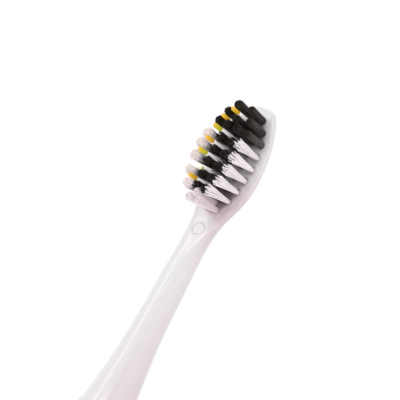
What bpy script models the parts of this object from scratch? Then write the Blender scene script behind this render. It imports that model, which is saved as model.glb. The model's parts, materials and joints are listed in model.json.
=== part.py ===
"""Rechargeable sonic toothbrush, built piece by piece.

Metres, +Z up. The brush stands on its base at the origin and its bristles point towards -Y.
Round inner pieces turn about the Z axis, which is also the axis of the drive shaft.
"""
import math

import bmesh
import bpy
from mathutils import Matrix, Vector

# Clearances
GAP = 0.0003                  # between pieces that touch
RUN_GAP = 0.0003              # round the turning shaft

# Handle housing
HANDLE_RADIUS = 0.0141        # widest
HANDLE_BASE_RADIUS = 0.0133
HANDLE_TOP_RADIUS = 0.0092
HANDLE_WIDEST = 0.070         # height of the widest place
HANDLE_HEIGHT = 0.163
HANDLE_WALL = 0.0018
TOP_TAPER = 2.8               # how late the handle narrows towards its top
LEDGE_DROP = 0.0048           # from the housing's top down to the underside of its inner ledge
LEDGE_THICKNESS = 0.0020
LEDGE_HOLE_RADIUS = 0.0034
BEZEL_HEIGHT = 0.0023
SEAL_NECK_RADIUS = 0.0046

# Base cap and charging coil
CAP_FLANGE = 0.0030
CAP_EDGE = 0.0009             # rounding of the foot
SPIGOT_HEIGHT = 0.0060
SPIGOT_WALL = 0.0014
WELL_RADIUS = 0.0046
WELL_DEPTH = 0.0140
POST_WALL = 0.0014
SEAL_CORD_RADIUS = 0.0004
SEAL_GROOVE_DEPTH = 0.0009
BOBBIN_HEIGHT = 0.0072
BOBBIN_WALL = 0.0007
BOBBIN_CLEARANCE = 0.0006     # between the bobbin's rims and the cap's spigot
COIL_DROP = 0.0003            # the winding ends this far inside the rims

# Chassis, battery and circuit board
SKIRT_WALL = 0.0011
DISC_THICKNESS = 0.0025
DISC_ABOVE_WELL = 0.0050
BULKHEAD_CLEARANCE = 0.0007   # between the bulkhead and the housing
RAIL_CLEARANCE = 0.0006       # the rails stay this far inside the bulkhead's edge
RAIL_BEHIND_CELL = 0.0004     # how far the rails reach behind the cell's axis
CELL_RADIUS = 0.0070
CELL_LENGTH = 0.0500
CELL_CLEARANCE = 0.0004
CELL_NUB_HEIGHT = 0.0006
CELL_EDGE = 0.0004
TAB_THICKNESS = 0.0003
TAB_WIDTH = 0.0060
TAB_BEND = 0.0040
BOARD_THICKNESS = 0.0012
BOARD_CLEARANCE = 0.0005      # the board stays this far inside the bulkhead's edge
BOARD_BELOW_BULKHEAD = 0.0022
CHIP_HEIGHT = 0.0010
CHIPS = (                     # name, place across, distance below the lamp lens, width, length
    ("control_chip", 0.0, 0.0220, 0.0060, 0.0060),
    ("driver_chip", 0.0030, 0.0380, 0.0050, 0.0040),
)

# Power button and lamps
BUTTON_RADIUS = 0.0046
BUTTON_PROUD = 0.0001
BUTTON_DISH = 0.0004
BUTTON_TRAVEL = 0.0005
BUTTON_CLEARANCE = 0.0009     # between the button's upper lug and the bulkhead
LUG_HOOK = 0.0010             # how far the lugs reach behind the housing's wall
LUG_WIDTH = 0.0026
LUG_THICKNESS = 0.00045
STEM_RADIUS = 0.0020
GASKET_THICKNESS = 0.0008
GASKET_CLEARANCE = 0.0008     # between the gasket and the switch's plunger
SWITCH_SIZE = 0.0045
SWITCH_HEIGHT = 0.0015
PLUNGER_HEIGHT = 0.0004
PLUNGER_RADIUS = 0.0011
LENS_DROP = 0.00315           # from the button's edge down to the lamp lens
LENS_LENGTH = 0.0085
LENS_WIDTH = 0.0026
LENS_DEPTH = 0.0024
LAMP_WIDTH = 0.0016
LAMP_LENGTH = 0.0010
LAMP_HEIGHT = 0.0008

# Motor
HEADROOM = 0.0112             # between the motor's nose and the housing's ledge
MOTOR_CLEARANCE = 0.0003      # between the motor's case and the housing
MOTOR_WALL = 0.0010
CASE_EDGE = 0.0015            # bevel round the case's top
CASE_HOLE_GAP = 0.0008        # between the shaft's bore and the hole in the case
END_PLATE_THICKNESS = 0.0022
MOTOR_LENGTH = 0.0352         # case without its nose
NOSE_HEIGHT = 0.0040
BEARING_RADIUS = 0.0043
BEARING_HEIGHT = 0.0024
ROTOR_LENGTH = 0.0240
YOKE_WALL = 0.0011            # yoke, magnets and windings share the space round the shaft
MAGNET_THICKNESS = 0.0011     # in proportion to these three
COIL_THICKNESS = 0.0015
ROTOR_DROP = 0.0008           # the rotor's middle lies this far below the case's
RING_HEIGHT = 0.0008          # retaining ring on the shaft
MAGNET_CLEARANCE = 0.00066    # between the magnets and the windings
MAGNET_HALF_ANGLE = 60.0
AIR_GAP = 0.0004
POLE_WIDTH = 0.0044
POLE_HEIGHT = 0.0172
COIL_WIDTH = 0.0080
DAMPER_HEIGHT = 0.0040
SCREW_RADIUS = 0.0008
SCREW_HEAD_RADIUS = 0.0014
SCREW_HEAD_HEIGHT = 0.0013

# Drive shaft
SHAFT_RADIUS = 0.0019
SHAFT_REACH = 0.0230          # above the handle's housing
SHAFT_FLAT = 0.0013           # from the axis to the flat on the shaft's end
FLAT_LENGTH = 0.0130
SHAFT_EDGE = 0.0004
SHOULDER_RADIUS = 0.0027
SHOULDER_HEIGHT = 0.0032
SEAL_LIP = 0.0006             # width of the shaft seal's lip

# Brush head: the distances run down from its tip
HEAD_LENGTH = 0.0800
HEAD_ABOVE_HANDLE = 0.0040
NECK_RADIUS = 0.0030
NECK_NARROWEST = 0.0330
COLLAR_RADIUS = 0.0086
COLLAR_HEIGHT = 0.0035
COLLAR_WALL = 0.0009
COLLAR_EDGE = 0.0003
PLATE_FRONT = -0.0002         # the plate's face, just before the neck's axis
PLATE_THICKNESS = 0.0041
RIM_WIDTH = 0.0010
SLICE_THICKNESS = 0.0012
SOCKET_RADIUS = 0.0029
SOCKET_FLANGE_RADIUS = 0.0055
SOCKET_FLANGE_HEIGHT = 0.0015
SOCKET_END_WALL = 0.0016
CLIP_RISE = 0.0015            # from the socket's flange up to the clip
CLIP_THICKNESS = 0.0008
CLIP_HEIGHT = 0.0016
CLIP_MOUTH_ANGLE = 70.0

# Tufts: each row's distance from the head's tip, and its tufts' places across
TUFT_RADIUS = 0.00070
TUFT_MARGIN = 0.00025
STRAND_RADIUS = 0.00014
STRAND_SPACE = 0.00006
BRISTLE_LENGTH = 0.0087
FLARE = 1.35                  # how much wider a tuft may be at its tip than at its root
SPLAY = 0.05                  # how far tufts lean away from the middle of the field
SPREAD = 0.04                 # and away from the middle line
TIP_ROWS = (
    (0.00290, (-0.00100, 0.00100)),
    (0.00455, (-0.00060,)),
    (0.00530, (-0.00240, 0.00240)),
    (0.00605, (0.0,)),
    (0.00655, (-0.00185,)),
    (0.00770, (-0.00350, -0.00115, 0.00115, 0.00350)),
)
MAIN_ROWS = (
    (0.00910, (-0.00240,)),
    (0.01050, (-0.00415, -0.00138, 0.00138, 0.00415)),
    (0.01190, (-0.00277,)),
    (0.01325, (-0.00435, -0.00145, 0.00145, 0.00435)),
    (0.01465, (-0.00290,)),
    (0.01605, (-0.00420, -0.00140, 0.00140, 0.00420)),
    (0.01745, (-0.00270,)),
    (0.01885, (-0.00375, -0.00125, 0.00125, 0.00375)),
    (0.02015, (-0.00215,)),
    (0.02140, (-0.00285, -0.00095, 0.00095, 0.00285)),
    (0.02275, (0.0,)),
    (0.02410, (-0.00125, 0.00125)),
)
SEAM_SWING = 0.00047          # the seam between the slices swings this far up and down past tufts
FIELD_MARGIN_TIP = 0.00065    # pocket beyond the first and the last tuft
PLATE_MARGIN_HEEL = 0.0021


def handle_radius(height):
    """Outer radius of the handle: a soft belly below and a late taper towards the top."""
    if height < HANDLE_WIDEST:
        share = (HANDLE_WIDEST - height) / HANDLE_WIDEST
        return HANDLE_RADIUS - (HANDLE_RADIUS - HANDLE_BASE_RADIUS) * share ** 2
    share = (height - HANDLE_WIDEST) / (HANDLE_HEIGHT - HANDLE_WIDEST)
    return HANDLE_RADIUS - (HANDLE_RADIUS - HANDLE_TOP_RADIUS) * share ** TOP_TAPER


def inner_radius(height):
    return handle_radius(height) - HANDLE_WALL


# Heights inside the handle: the motor hangs below the ledge, the button and the lamps below the motor
TIP_Z = HANDLE_HEIGHT + HEAD_ABOVE_HANDLE + HEAD_LENGTH
HEAD_FOOT_Z = HANDLE_HEIGHT + HEAD_ABOVE_HANDLE
LEDGE_Z = HANDLE_HEIGHT - LEDGE_DROP
CAP_TOP = CAP_FLANGE + SPIGOT_HEIGHT
WELL_WALL_TOP = WELL_DEPTH + POST_WALL
DISC_Z = WELL_WALL_TOP + DISC_ABOVE_WELL
DISC_TOP = DISC_Z + DISC_THICKNESS
CELL_Z = DISC_TOP + 2 * GAP + TAB_THICKNESS
CASE_TOP = LEDGE_Z - HEADROOM - NOSE_HEIGHT
CASE_Z = CASE_TOP - MOTOR_LENGTH
MOTOR_Z = CASE_Z - GAP - END_PLATE_THICKNESS
BULKHEAD_TOP = MOTOR_Z - GAP
BULKHEAD_Z = BULKHEAD_TOP - DISC_THICKNESS
BUTTON_HEIGHT = BULKHEAD_Z - BUTTON_CLEARANCE - LUG_HOOK - BUTTON_RADIUS
LENS_HEIGHT = BUTTON_HEIGHT - BUTTON_RADIUS - LENS_DROP - LENS_LENGTH / 2
ROTOR_MIDDLE = CASE_Z + (MOTOR_LENGTH - MOTOR_WALL) / 2 - ROTOR_DROP

# From the housing's front wall inwards: button, gasket, switch, board, rails and cell
BUTTON_FRONT = -handle_radius(BUTTON_HEIGHT) - BUTTON_PROUD
LUG_FRONT = -inner_radius(BUTTON_HEIGHT) + 2 * GAP
BUTTON_BACK = LUG_FRONT + LUG_THICKNESS + GAP / 2
GASKET_FRONT = BUTTON_BACK + BUTTON_TRAVEL + GAP
GASKET_BACK = GASKET_FRONT + GASKET_THICKNESS
PLUNGER_FRONT = GASKET_BACK + GASKET_CLEARANCE
SWITCH_FRONT = PLUNGER_FRONT + PLUNGER_HEIGHT
BOARD_SEAT = SWITCH_FRONT + SWITCH_HEIGHT
BOARD_FRONT = BOARD_SEAT + GAP
BOARD_REAR = BOARD_FRONT + BOARD_THICKNESS
RAIL_FRONT = BOARD_REAR + GAP
CELL_SETBACK = RAIL_FRONT + GAP / 2 + TAB_THICKNESS + CELL_RADIUS
RAIL_BACK = CELL_SETBACK + RAIL_BEHIND_CELL

# Radii inside the handle
SPIGOT_RADIUS = inner_radius(CAP_FLANGE) - GAP
BOBBIN_RADIUS = SPIGOT_RADIUS - SPIGOT_WALL - BOBBIN_CLEARANCE
COIL_RADIUS = BOBBIN_RADIUS - COIL_DROP
BULKHEAD_RADIUS = inner_radius(BULKHEAD_TOP) - BULKHEAD_CLEARANCE
RAIL_OUTSIDE = math.sqrt(BULKHEAD_RADIUS ** 2 - RAIL_FRONT ** 2) - RAIL_CLEARANCE
BOARD_HALF_WIDTH = math.sqrt(BULKHEAD_RADIUS ** 2 - BOARD_FRONT ** 2) - BOARD_CLEARANCE
MOTOR_RADIUS = inner_radius(CASE_TOP) - MOTOR_CLEARANCE
STATOR_RADIUS = MOTOR_RADIUS - MOTOR_WALL - GAP
COIL_OUTSIDE = math.sqrt(STATOR_RADIUS ** 2 - (COIL_WIDTH / 2) ** 2) - GAP
SHAFT_BORE = SHAFT_RADIUS + RUN_GAP
LAYER_SPACE = COIL_OUTSIDE - MAGNET_CLEARANCE - GAP - SHAFT_BORE
LAYER_FIT = LAYER_SPACE / (YOKE_WALL + MAGNET_THICKNESS + COIL_THICKNESS)
YOKE_RADIUS = SHAFT_BORE + YOKE_WALL * LAYER_FIT
MAGNET_INSIDE = YOKE_RADIUS + GAP
MAGNET_RADIUS = MAGNET_INSIDE + MAGNET_THICKNESS * LAYER_FIT
COIL_INSIDE = COIL_OUTSIDE - COIL_THICKNESS * LAYER_FIT
SCREW_CIRCLE = (BEARING_RADIUS + GAP + MOTOR_RADIUS) / 2

# Shaft and brush head
SHAFT_TIP_Z = HANDLE_HEIGHT + SHAFT_REACH
BEZEL_TOP = HANDLE_HEIGHT + GAP + BEZEL_HEIGHT
SHOULDER_Z = BEZEL_TOP + 2 * GAP
SHOULDER_TOP = SHOULDER_Z + SHOULDER_HEIGHT
SOCKET_Z = SHOULDER_TOP + GAP
ALL_ROWS = TIP_ROWS + MAIN_ROWS
FIELD_FIRST = ALL_ROWS[0][0]
FIELD_LAST = ALL_ROWS[-1][0]
FIELD_MIDDLE = (FIELD_FIRST + FIELD_LAST) / 2
FIELD_HALF_WIDTH = max(max(across) for distance, across in ALL_ROWS)
POCKET_HALF_WIDTH = FIELD_HALF_WIDTH + TUFT_RADIUS + TUFT_MARGIN + GAP / 2
POCKET_HALF_LENGTH = (FIELD_LAST - FIELD_FIRST) / 2 + TUFT_RADIUS + FIELD_MARGIN_TIP
POCKET_CURVE = 2.4            # exponent of the pocket's oval
POCKET_DEPTH = SLICE_THICKNESS + GAP
PLATE_HALF_WIDTH = POCKET_HALF_WIDTH + RIM_WIDTH
PLATE_END = FIELD_LAST + PLATE_MARGIN_HEEL

ROUND = 28                    # sides of round pieces
SMALL_ROUND = 20
HEAD_SIDES = 26


def clear_scene():
    for item in list(bpy.data.objects):
        bpy.data.objects.remove(item, do_unlink=True)


def make_material(name, colour, roughness, metallic=0.0):
    material = bpy.data.materials.new(name)
    material.use_nodes = True
    shader = material.node_tree.nodes["Principled BSDF"]
    shader.inputs["Base Color"].default_value = (*colour, 1.0)
    shader.inputs["Roughness"].default_value = roughness
    shader.inputs["Metallic"].default_value = metallic
    material.diffuse_color = (*colour, 1.0)
    return material


def add_empty(name, place, parent=None):
    empty = bpy.data.objects.new(name, None)
    bpy.context.collection.objects.link(empty)
    empty.location = place
    empty.parent = parent
    return empty


def add_piece(name, mesh_data, material, parent):
    """Turns a bmesh in world coordinates into an object whose origin is its parent's."""
    bmesh.ops.recalc_face_normals(mesh_data, faces=mesh_data.faces)
    origin = parent.location if parent else Vector()
    bmesh.ops.translate(mesh_data, verts=mesh_data.verts, vec=-origin)
    mesh = bpy.data.meshes.new(name)
    mesh_data.to_mesh(mesh)
    mesh_data.free()
    mesh.shade_smooth()
    mesh.set_sharp_from_angle(angle=math.radians(35))
    mesh.materials.append(material)
    piece = bpy.data.objects.new(name, mesh)
    bpy.context.collection.objects.link(piece)
    piece.parent = parent
    return piece


def combine(piece, tool_name, mesh_data, operation):
    """Cuts or joins a hidden helper shape with an exact Boolean."""
    helper = add_piece(tool_name, mesh_data, piece.data.materials[0], piece.parent)
    helper.hide_render = True
    helper.display_type = "WIRE"
    modifier = piece.modifiers.new(tool_name, "BOOLEAN")
    modifier.object = helper
    modifier.operation = operation
    modifier.solver = "EXACT"


def cut(piece, tool_name, mesh_data):
    combine(piece, tool_name, mesh_data, "DIFFERENCE")


def join(piece, tool_name, mesh_data):
    combine(piece, tool_name, mesh_data, "UNION")


def bridge(mesh_data, ring, after):
    """Faces between two rings of vertices, either of which may be a single point."""
    count = max(len(ring), len(after))
    if count == 1:
        return
    for i in range(count):
        j = (i + 1) % count
        if len(ring) == 1:
            mesh_data.faces.new((ring[0], after[j], after[i]))
        elif len(after) == 1:
            mesh_data.faces.new((ring[i], ring[j], after[0]))
        else:
            mesh_data.faces.new((ring[i], ring[j], after[j], after[i]))


def revolve(profile, sides=ROUND, centre=(0.0, 0.0)):
    """Turns a closed outline of (radius, height) about a vertical axis."""
    mesh_data = bmesh.new()
    rings = []
    for radius, height in profile:
        steps = sides if radius > 0.0 else 1
        angles = [2 * math.pi * i / steps for i in range(steps)]
        rings.append([
            mesh_data.verts.new((
                centre[0] + radius * math.cos(a),
                centre[1] + radius * math.sin(a),
                height,
            ))
            for a in angles
        ])
    for ring, after in zip(rings, rings[1:] + rings[:1]):
        bridge(mesh_data, ring, after)
    return mesh_data


def tube(inner, outer, low, high, sides=ROUND):
    return revolve([(inner, low), (outer, low), (outer, high), (inner, high)], sides)


def rod(radius, low, high, sides=SMALL_ROUND, centre=(0.0, 0.0)):
    return revolve([(0.0, low), (radius, low), (radius, high), (0.0, high)], sides, centre)


def extrude(outline, low, high, place):
    """Extrudes a flat outline from low to high; place turns (across, up, depth) into a point."""
    mesh_data = bmesh.new()
    near = [mesh_data.verts.new(place(u, v, low)) for u, v in outline]
    far = [mesh_data.verts.new(place(u, v, high)) for u, v in outline]
    mesh_data.faces.new(near)
    mesh_data.faces.new(list(reversed(far)))
    bridge(mesh_data, near, far)
    return mesh_data


def upright(u, v, depth):
    return (u, v, depth)


def facing(u, v, depth):
    return (u, depth, v)


def sideways(u, v, depth):
    return (depth, u, v)


def box(x_low, x_high, y_low, y_high, z_low, z_high):
    outline = [(x_low, y_low), (x_high, y_low), (x_high, y_high), (x_low, y_high)]
    return extrude(outline, z_low, z_high, upright)


def disc_outline(radius, middle, sides=SMALL_ROUND):
    return [
        (radius * math.cos(2 * math.pi * i / sides), middle + radius * math.sin(2 * math.pi * i / sides))
        for i in range(sides)
    ]


def slot_outline(half_width, low, high, sides=12):
    """An upright outline with round ends."""
    points = []
    for i in range(sides + 1):
        angle = math.pi * i / sides
        points.append((half_width * math.cos(angle), high - half_width + half_width * math.sin(angle)))
    for i in range(sides + 1):
        angle = math.pi + math.pi * i / sides
        points.append((half_width * math.cos(angle), low + half_width + half_width * math.sin(angle)))
    return points


def arc_outline(inner, outer, middle_angle, half_angle, steps=8):
    """A stretch of a ring seen from above, with its angles in degrees."""
    angles = [
        math.radians(middle_angle - half_angle + 2 * half_angle * i / steps) for i in range(steps + 1)
    ]
    outside = [(outer * math.cos(a), outer * math.sin(a)) for a in angles]
    inside = [(inner * math.cos(a), inner * math.sin(a)) for a in reversed(angles)]
    return outside + inside


def smooth_through(stations, steps):
    """Points of a Catmull-Rom curve through the stations, steps to each stretch."""
    padded = [stations[0]] + list(stations) + [stations[-1]]
    points = []
    for before, start, end, after in zip(padded, padded[1:], padded[2:], padded[3:]):
        for step in range(steps):
            t = step / steps
            points.append(tuple(
                0.5 * (2 * b + (c - a) * t + (2 * a - 5 * b + 4 * c - d) * t * t
                       + (3 * b - a - 3 * c + d) * t ** 3)
                for a, b, c, d in zip(before, start, end, after)
            ))
    points.append(stations[-1])
    return points


def build_handle_shell(material, parent):
    """The one-piece housing, open below, with a ledge and a shaft hole at its top."""
    foot = CAP_FLANGE + GAP
    ledge_top = LEDGE_Z + LEDGE_THICKNESS
    outside = [foot + (HANDLE_HEIGHT - foot) * i / 14 for i in range(15)]
    inside = [foot + (LEDGE_Z - 2 * HANDLE_WALL - foot) * i / 8 for i in range(9)]
    profile = [(handle_radius(z), z) for z in outside]
    profile += [(inner_radius(HANDLE_HEIGHT), HANDLE_HEIGHT), (inner_radius(HANDLE_HEIGHT), ledge_top)]
    profile += [(LEDGE_HOLE_RADIUS, ledge_top), (LEDGE_HOLE_RADIUS, LEDGE_Z)]
    profile += [(inner_radius(inside[-1]) - HANDLE_WALL / 2, LEDGE_Z)]
    profile += [(inner_radius(z), z) for z in reversed(inside)]
    shell = add_piece("handle_shell", revolve(profile, ROUND), material, parent)
    through = -2 * HANDLE_RADIUS
    hole = extrude(disc_outline(BUTTON_RADIUS + GAP, BUTTON_HEIGHT), through, -HANDLE_RADIUS / 2, facing)
    cut(shell, "button_hole", hole)
    half = LENS_WIDTH / 2 + GAP
    low = LENS_HEIGHT - LENS_LENGTH / 2 - GAP
    high = LENS_HEIGHT + LENS_LENGTH / 2 + GAP
    cut(shell, "lens_hole", extrude(slot_outline(half, low, high, 6), through, -HANDLE_RADIUS / 2, facing))


def build_top(bezel_material, rubber, parent):
    """The bezel and the rubber seal that close the handle round the shaft."""
    pocket = inner_radius(HANDLE_HEIGHT)
    ledge_top = LEDGE_Z + LEDGE_THICKNESS
    plug_low = HANDLE_HEIGHT - GAP
    plug_radius = pocket - GAP
    hole = SEAL_NECK_RADIUS + GAP
    foot = HANDLE_HEIGHT + GAP
    slope = (HANDLE_TOP_RADIUS - COLLAR_RADIUS) / (HEAD_FOOT_Z - HANDLE_HEIGHT)
    top_radius = HANDLE_TOP_RADIUS - slope * (BEZEL_TOP - HANDLE_HEIGHT)
    edge = 0.15 * BEZEL_HEIGHT
    bezel = revolve([
        (hole, plug_low), (plug_radius, plug_low), (plug_radius, foot),
        (HANDLE_TOP_RADIUS - slope * GAP, foot), (top_radius, BEZEL_TOP - edge),
        (top_radius - edge, BEZEL_TOP), (hole, BEZEL_TOP),
    ])
    add_piece("top_bezel", bezel, bezel_material, parent)
    flange_low = ledge_top + GAP
    flange_high = plug_low - GAP
    seal = revolve([
        (SHAFT_BORE, flange_low), (plug_radius, flange_low), (plug_radius, flange_high),
        (SEAL_NECK_RADIUS, flange_high), (SEAL_NECK_RADIUS, BEZEL_TOP - GAP),
        (SHAFT_BORE + SEAL_LIP, BEZEL_TOP + GAP), (SHAFT_BORE, BEZEL_TOP),
    ], 24)
    add_piece("shaft_seal", seal, rubber, parent)


def build_base(cap_material, rubber, copper, bobbin_material, parent):
    """The foot with the charger post's well, its O-ring, and the charging coil round the well."""
    spigot = SPIGOT_RADIUS
    post = WELL_RADIUS + POST_WALL
    groove_middle = CAP_FLANGE + SPIGOT_HEIGHT / 2
    groove_half = SEAL_CORD_RADIUS + GAP
    flange = handle_radius(CAP_FLANGE)
    cap = revolve([
        (WELL_RADIUS, 0.0), (flange - CAP_EDGE, 0.0), (flange - 0.3 * CAP_EDGE, 0.3 * CAP_EDGE),
        (flange, CAP_EDGE), (flange, CAP_FLANGE), (spigot, CAP_FLANGE),
        (spigot, groove_middle - groove_half), (spigot - SEAL_GROOVE_DEPTH, groove_middle - groove_half),
        (spigot - SEAL_GROOVE_DEPTH, groove_middle + groove_half), (spigot, groove_middle + groove_half),
        (spigot, CAP_TOP), (spigot - SPIGOT_WALL, CAP_TOP), (spigot - SPIGOT_WALL, CAP_FLANGE),
        (post, CAP_FLANGE), (post, WELL_WALL_TOP), (0.0, WELL_WALL_TOP), (0.0, WELL_DEPTH),
        (WELL_RADIUS, WELL_DEPTH),
    ])
    add_piece("base_cap", cap, cap_material, parent)
    ring_radius = spigot - SEAL_GROOVE_DEPTH + SEAL_CORD_RADIUS + 0.6 * GAP
    cord = [
        (ring_radius + SEAL_CORD_RADIUS * math.cos(2 * math.pi * i / 8),
         groove_middle + SEAL_CORD_RADIUS * math.sin(2 * math.pi * i / 8))
        for i in range(8)
    ]
    add_piece("base_seal", revolve(cord, 24), rubber, parent)
    low = CAP_FLANGE + GAP
    high = low + BOBBIN_HEIGHT
    inner = post + GAP
    rim = BOBBIN_RADIUS
    lower, upper = low + BOBBIN_WALL, high - BOBBIN_WALL
    spool = revolve([
        (inner, low), (rim, low), (rim, lower), (inner + BOBBIN_WALL, lower),
        (inner + BOBBIN_WALL, upper), (rim, upper), (rim, high), (inner, high),
    ], 24)
    add_piece("coil_bobbin", spool, bobbin_material, parent)
    winding = tube(inner + BOBBIN_WALL + GAP, COIL_RADIUS, lower + GAP, upper - GAP, 24)
    add_piece("charging_coil", winding, copper, parent)


def build_chassis(material, parent):
    """Inner frame: a skirt that stands on the base cap, two rails, and the motor's bulkhead."""
    skirt = inner_radius(CAP_FLANGE) - 2 * GAP
    foot = CAP_TOP + GAP
    frame = revolve([
        (skirt - SKIRT_WALL, foot), (skirt, foot), (skirt, DISC_TOP), (0.0, DISC_TOP),
        (0.0, DISC_Z), (skirt - SKIRT_WALL, DISC_Z),
    ])
    chassis = add_piece("chassis", frame, material, parent)
    inside = CELL_RADIUS + CELL_CLEARANCE
    sunk = DISC_THICKNESS / 2
    for side, label in ((1, "right"), (-1, "left")):
        edges = sorted((side * inside, side * RAIL_OUTSIDE))
        rail = box(edges[0], edges[1], RAIL_FRONT, RAIL_BACK, DISC_Z + sunk, BULKHEAD_Z + sunk)
        join(chassis, "rail_" + label, rail)
    join(chassis, "bulkhead", rod(BULKHEAD_RADIUS, BULKHEAD_Z, BULKHEAD_TOP, ROUND))
    for place, label in screw_places():
        drill = rod(SCREW_RADIUS + GAP, BULKHEAD_Z - GAP, BULKHEAD_TOP + GAP, 12, place)
        cut(chassis, "bulkhead_drill_" + label, drill)


def screw_places():
    shift = SCREW_CIRCLE * math.sqrt(0.5)
    return (((shift, shift), "rear"), ((-shift, -shift), "front"))


def build_power(cell_material, tab_material, board_material, chip_material, parent):
    """The rechargeable cell, its tabs, and the circuit board with what is on it."""
    nub = 0.4 * CELL_RADIUS
    top = CELL_Z + CELL_LENGTH
    shoulder = top - CELL_NUB_HEIGHT
    cell = revolve([
        (0.0, CELL_Z), (CELL_RADIUS - CELL_EDGE, CELL_Z), (CELL_RADIUS, CELL_Z + CELL_EDGE),
        (CELL_RADIUS, shoulder - CELL_EDGE), (CELL_RADIUS - CELL_EDGE, shoulder),
        (nub, shoulder), (nub, top), (0.0, top),
    ], ROUND, (0.0, CELL_SETBACK))
    add_piece("battery_cell", cell, cell_material, parent)
    bend = RAIL_FRONT
    for name, inner_z, way in (("battery_tab_bottom", CELL_Z - GAP, 1), ("battery_tab_top", top + GAP, -1)):
        outer_z = inner_z - way * TAB_THICKNESS
        leg_z = inner_z + way * TAB_BEND
        outline = [
            (bend, outer_z), (CELL_SETBACK, outer_z), (CELL_SETBACK, inner_z),
            (bend + TAB_THICKNESS, inner_z), (bend + TAB_THICKNESS, leg_z), (bend, leg_z),
        ]
        tab = extrude(outline, -TAB_WIDTH / 2, TAB_WIDTH / 2, sideways)
        add_piece(name, tab, tab_material, parent)
    board = box(-BOARD_HALF_WIDTH, BOARD_HALF_WIDTH, BOARD_FRONT, BOARD_REAR,
                DISC_TOP + GAP, BULKHEAD_Z - BOARD_BELOW_BULKHEAD)
    add_piece("circuit_board", board, board_material, parent)
    for name, across, drop, width, length in CHIPS:
        middle = LENS_HEIGHT - drop
        chip = box(across - width / 2, across + width / 2, BOARD_SEAT - CHIP_HEIGHT, BOARD_SEAT,
                   middle - length / 2, middle + length / 2)
        add_piece(name, chip, chip_material, parent)


def turn_to_front(mesh_data):
    """Lays a piece turned about the vertical axis down along the button's axis."""
    bmesh.ops.rotate(mesh_data, verts=mesh_data.verts, cent=(0, 0, 0),
                     matrix=Matrix.Rotation(-math.pi / 2, 3, "X"))
    bmesh.ops.translate(mesh_data, verts=mesh_data.verts, vec=(0, 0, BUTTON_HEIGHT))
    return mesh_data


def build_button(materials, handle, button_parent):
    """The power button, its gasket and switch, and the lamp lens with its two lamps."""
    stem_end = PLUNGER_FRONT - BUTTON_TRAVEL - GAP / 3
    cap = turn_to_front(revolve([
        (0.0, BUTTON_FRONT + BUTTON_DISH), (0.5 * BUTTON_RADIUS, BUTTON_FRONT + 0.6 * BUTTON_DISH),
        (0.85 * BUTTON_RADIUS, BUTTON_FRONT), (BUTTON_RADIUS, BUTTON_FRONT + BUTTON_DISH),
        (BUTTON_RADIUS, BUTTON_BACK), (STEM_RADIUS, BUTTON_BACK), (STEM_RADIUS, stem_end), (0.0, stem_end),
    ], 24))
    button = add_piece("power_button", cap, materials["button"], button_parent)
    rim = BUTTON_RADIUS + LUG_HOOK
    for side, label in ((1, "upper"), (-1, "lower")):
        low, high = sorted((side * 0.7 * BUTTON_RADIUS, side * rim))
        lug = box(-LUG_WIDTH / 2, LUG_WIDTH / 2, LUG_FRONT, LUG_FRONT + LUG_THICKNESS,
                  BUTTON_HEIGHT + low, BUTTON_HEIGHT + high)
        join(button, "lug_" + label, lug)
    gasket = turn_to_front(revolve([
        (STEM_RADIUS + GAP, GASKET_FRONT), (rim, GASKET_FRONT), (rim, GASKET_BACK),
        (STEM_RADIUS + GAP, GASKET_BACK),
    ], 24))
    add_piece("button_gasket", gasket, materials["rubber"], handle)

    half = SWITCH_SIZE / 2
    switch = add_piece(
        "tact_switch",
        box(-half, half, SWITCH_FRONT, BOARD_SEAT, BUTTON_HEIGHT - half, BUTTON_HEIGHT + half),
        materials["chip"], handle,
    )
    plunger = extrude(disc_outline(PLUNGER_RADIUS, BUTTON_HEIGHT, 12),
                      PLUNGER_FRONT, SWITCH_FRONT + SWITCH_HEIGHT / 2, facing)
    join(switch, "plunger", plunger)

    outside = -handle_radius(LENS_HEIGHT)
    outline = slot_outline(LENS_WIDTH / 2, LENS_HEIGHT - LENS_LENGTH / 2, LENS_HEIGHT + LENS_LENGTH / 2, 6)
    lens = extrude(outline, outside, outside + LENS_DEPTH, facing)
    add_piece("light_guide", lens, materials["lens"], handle)
    for shift, label in ((LENS_LENGTH / 4, "upper"), (-LENS_LENGTH / 4, "lower")):
        middle = LENS_HEIGHT + shift
        lamp = box(-LAMP_WIDTH / 2, LAMP_WIDTH / 2, BOARD_SEAT - LAMP_HEIGHT, BOARD_SEAT,
                   middle - LAMP_LENGTH / 2, middle + LAMP_LENGTH / 2)
        add_piece("indicator_led_" + label, lamp, materials["lamp"], handle)


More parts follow.
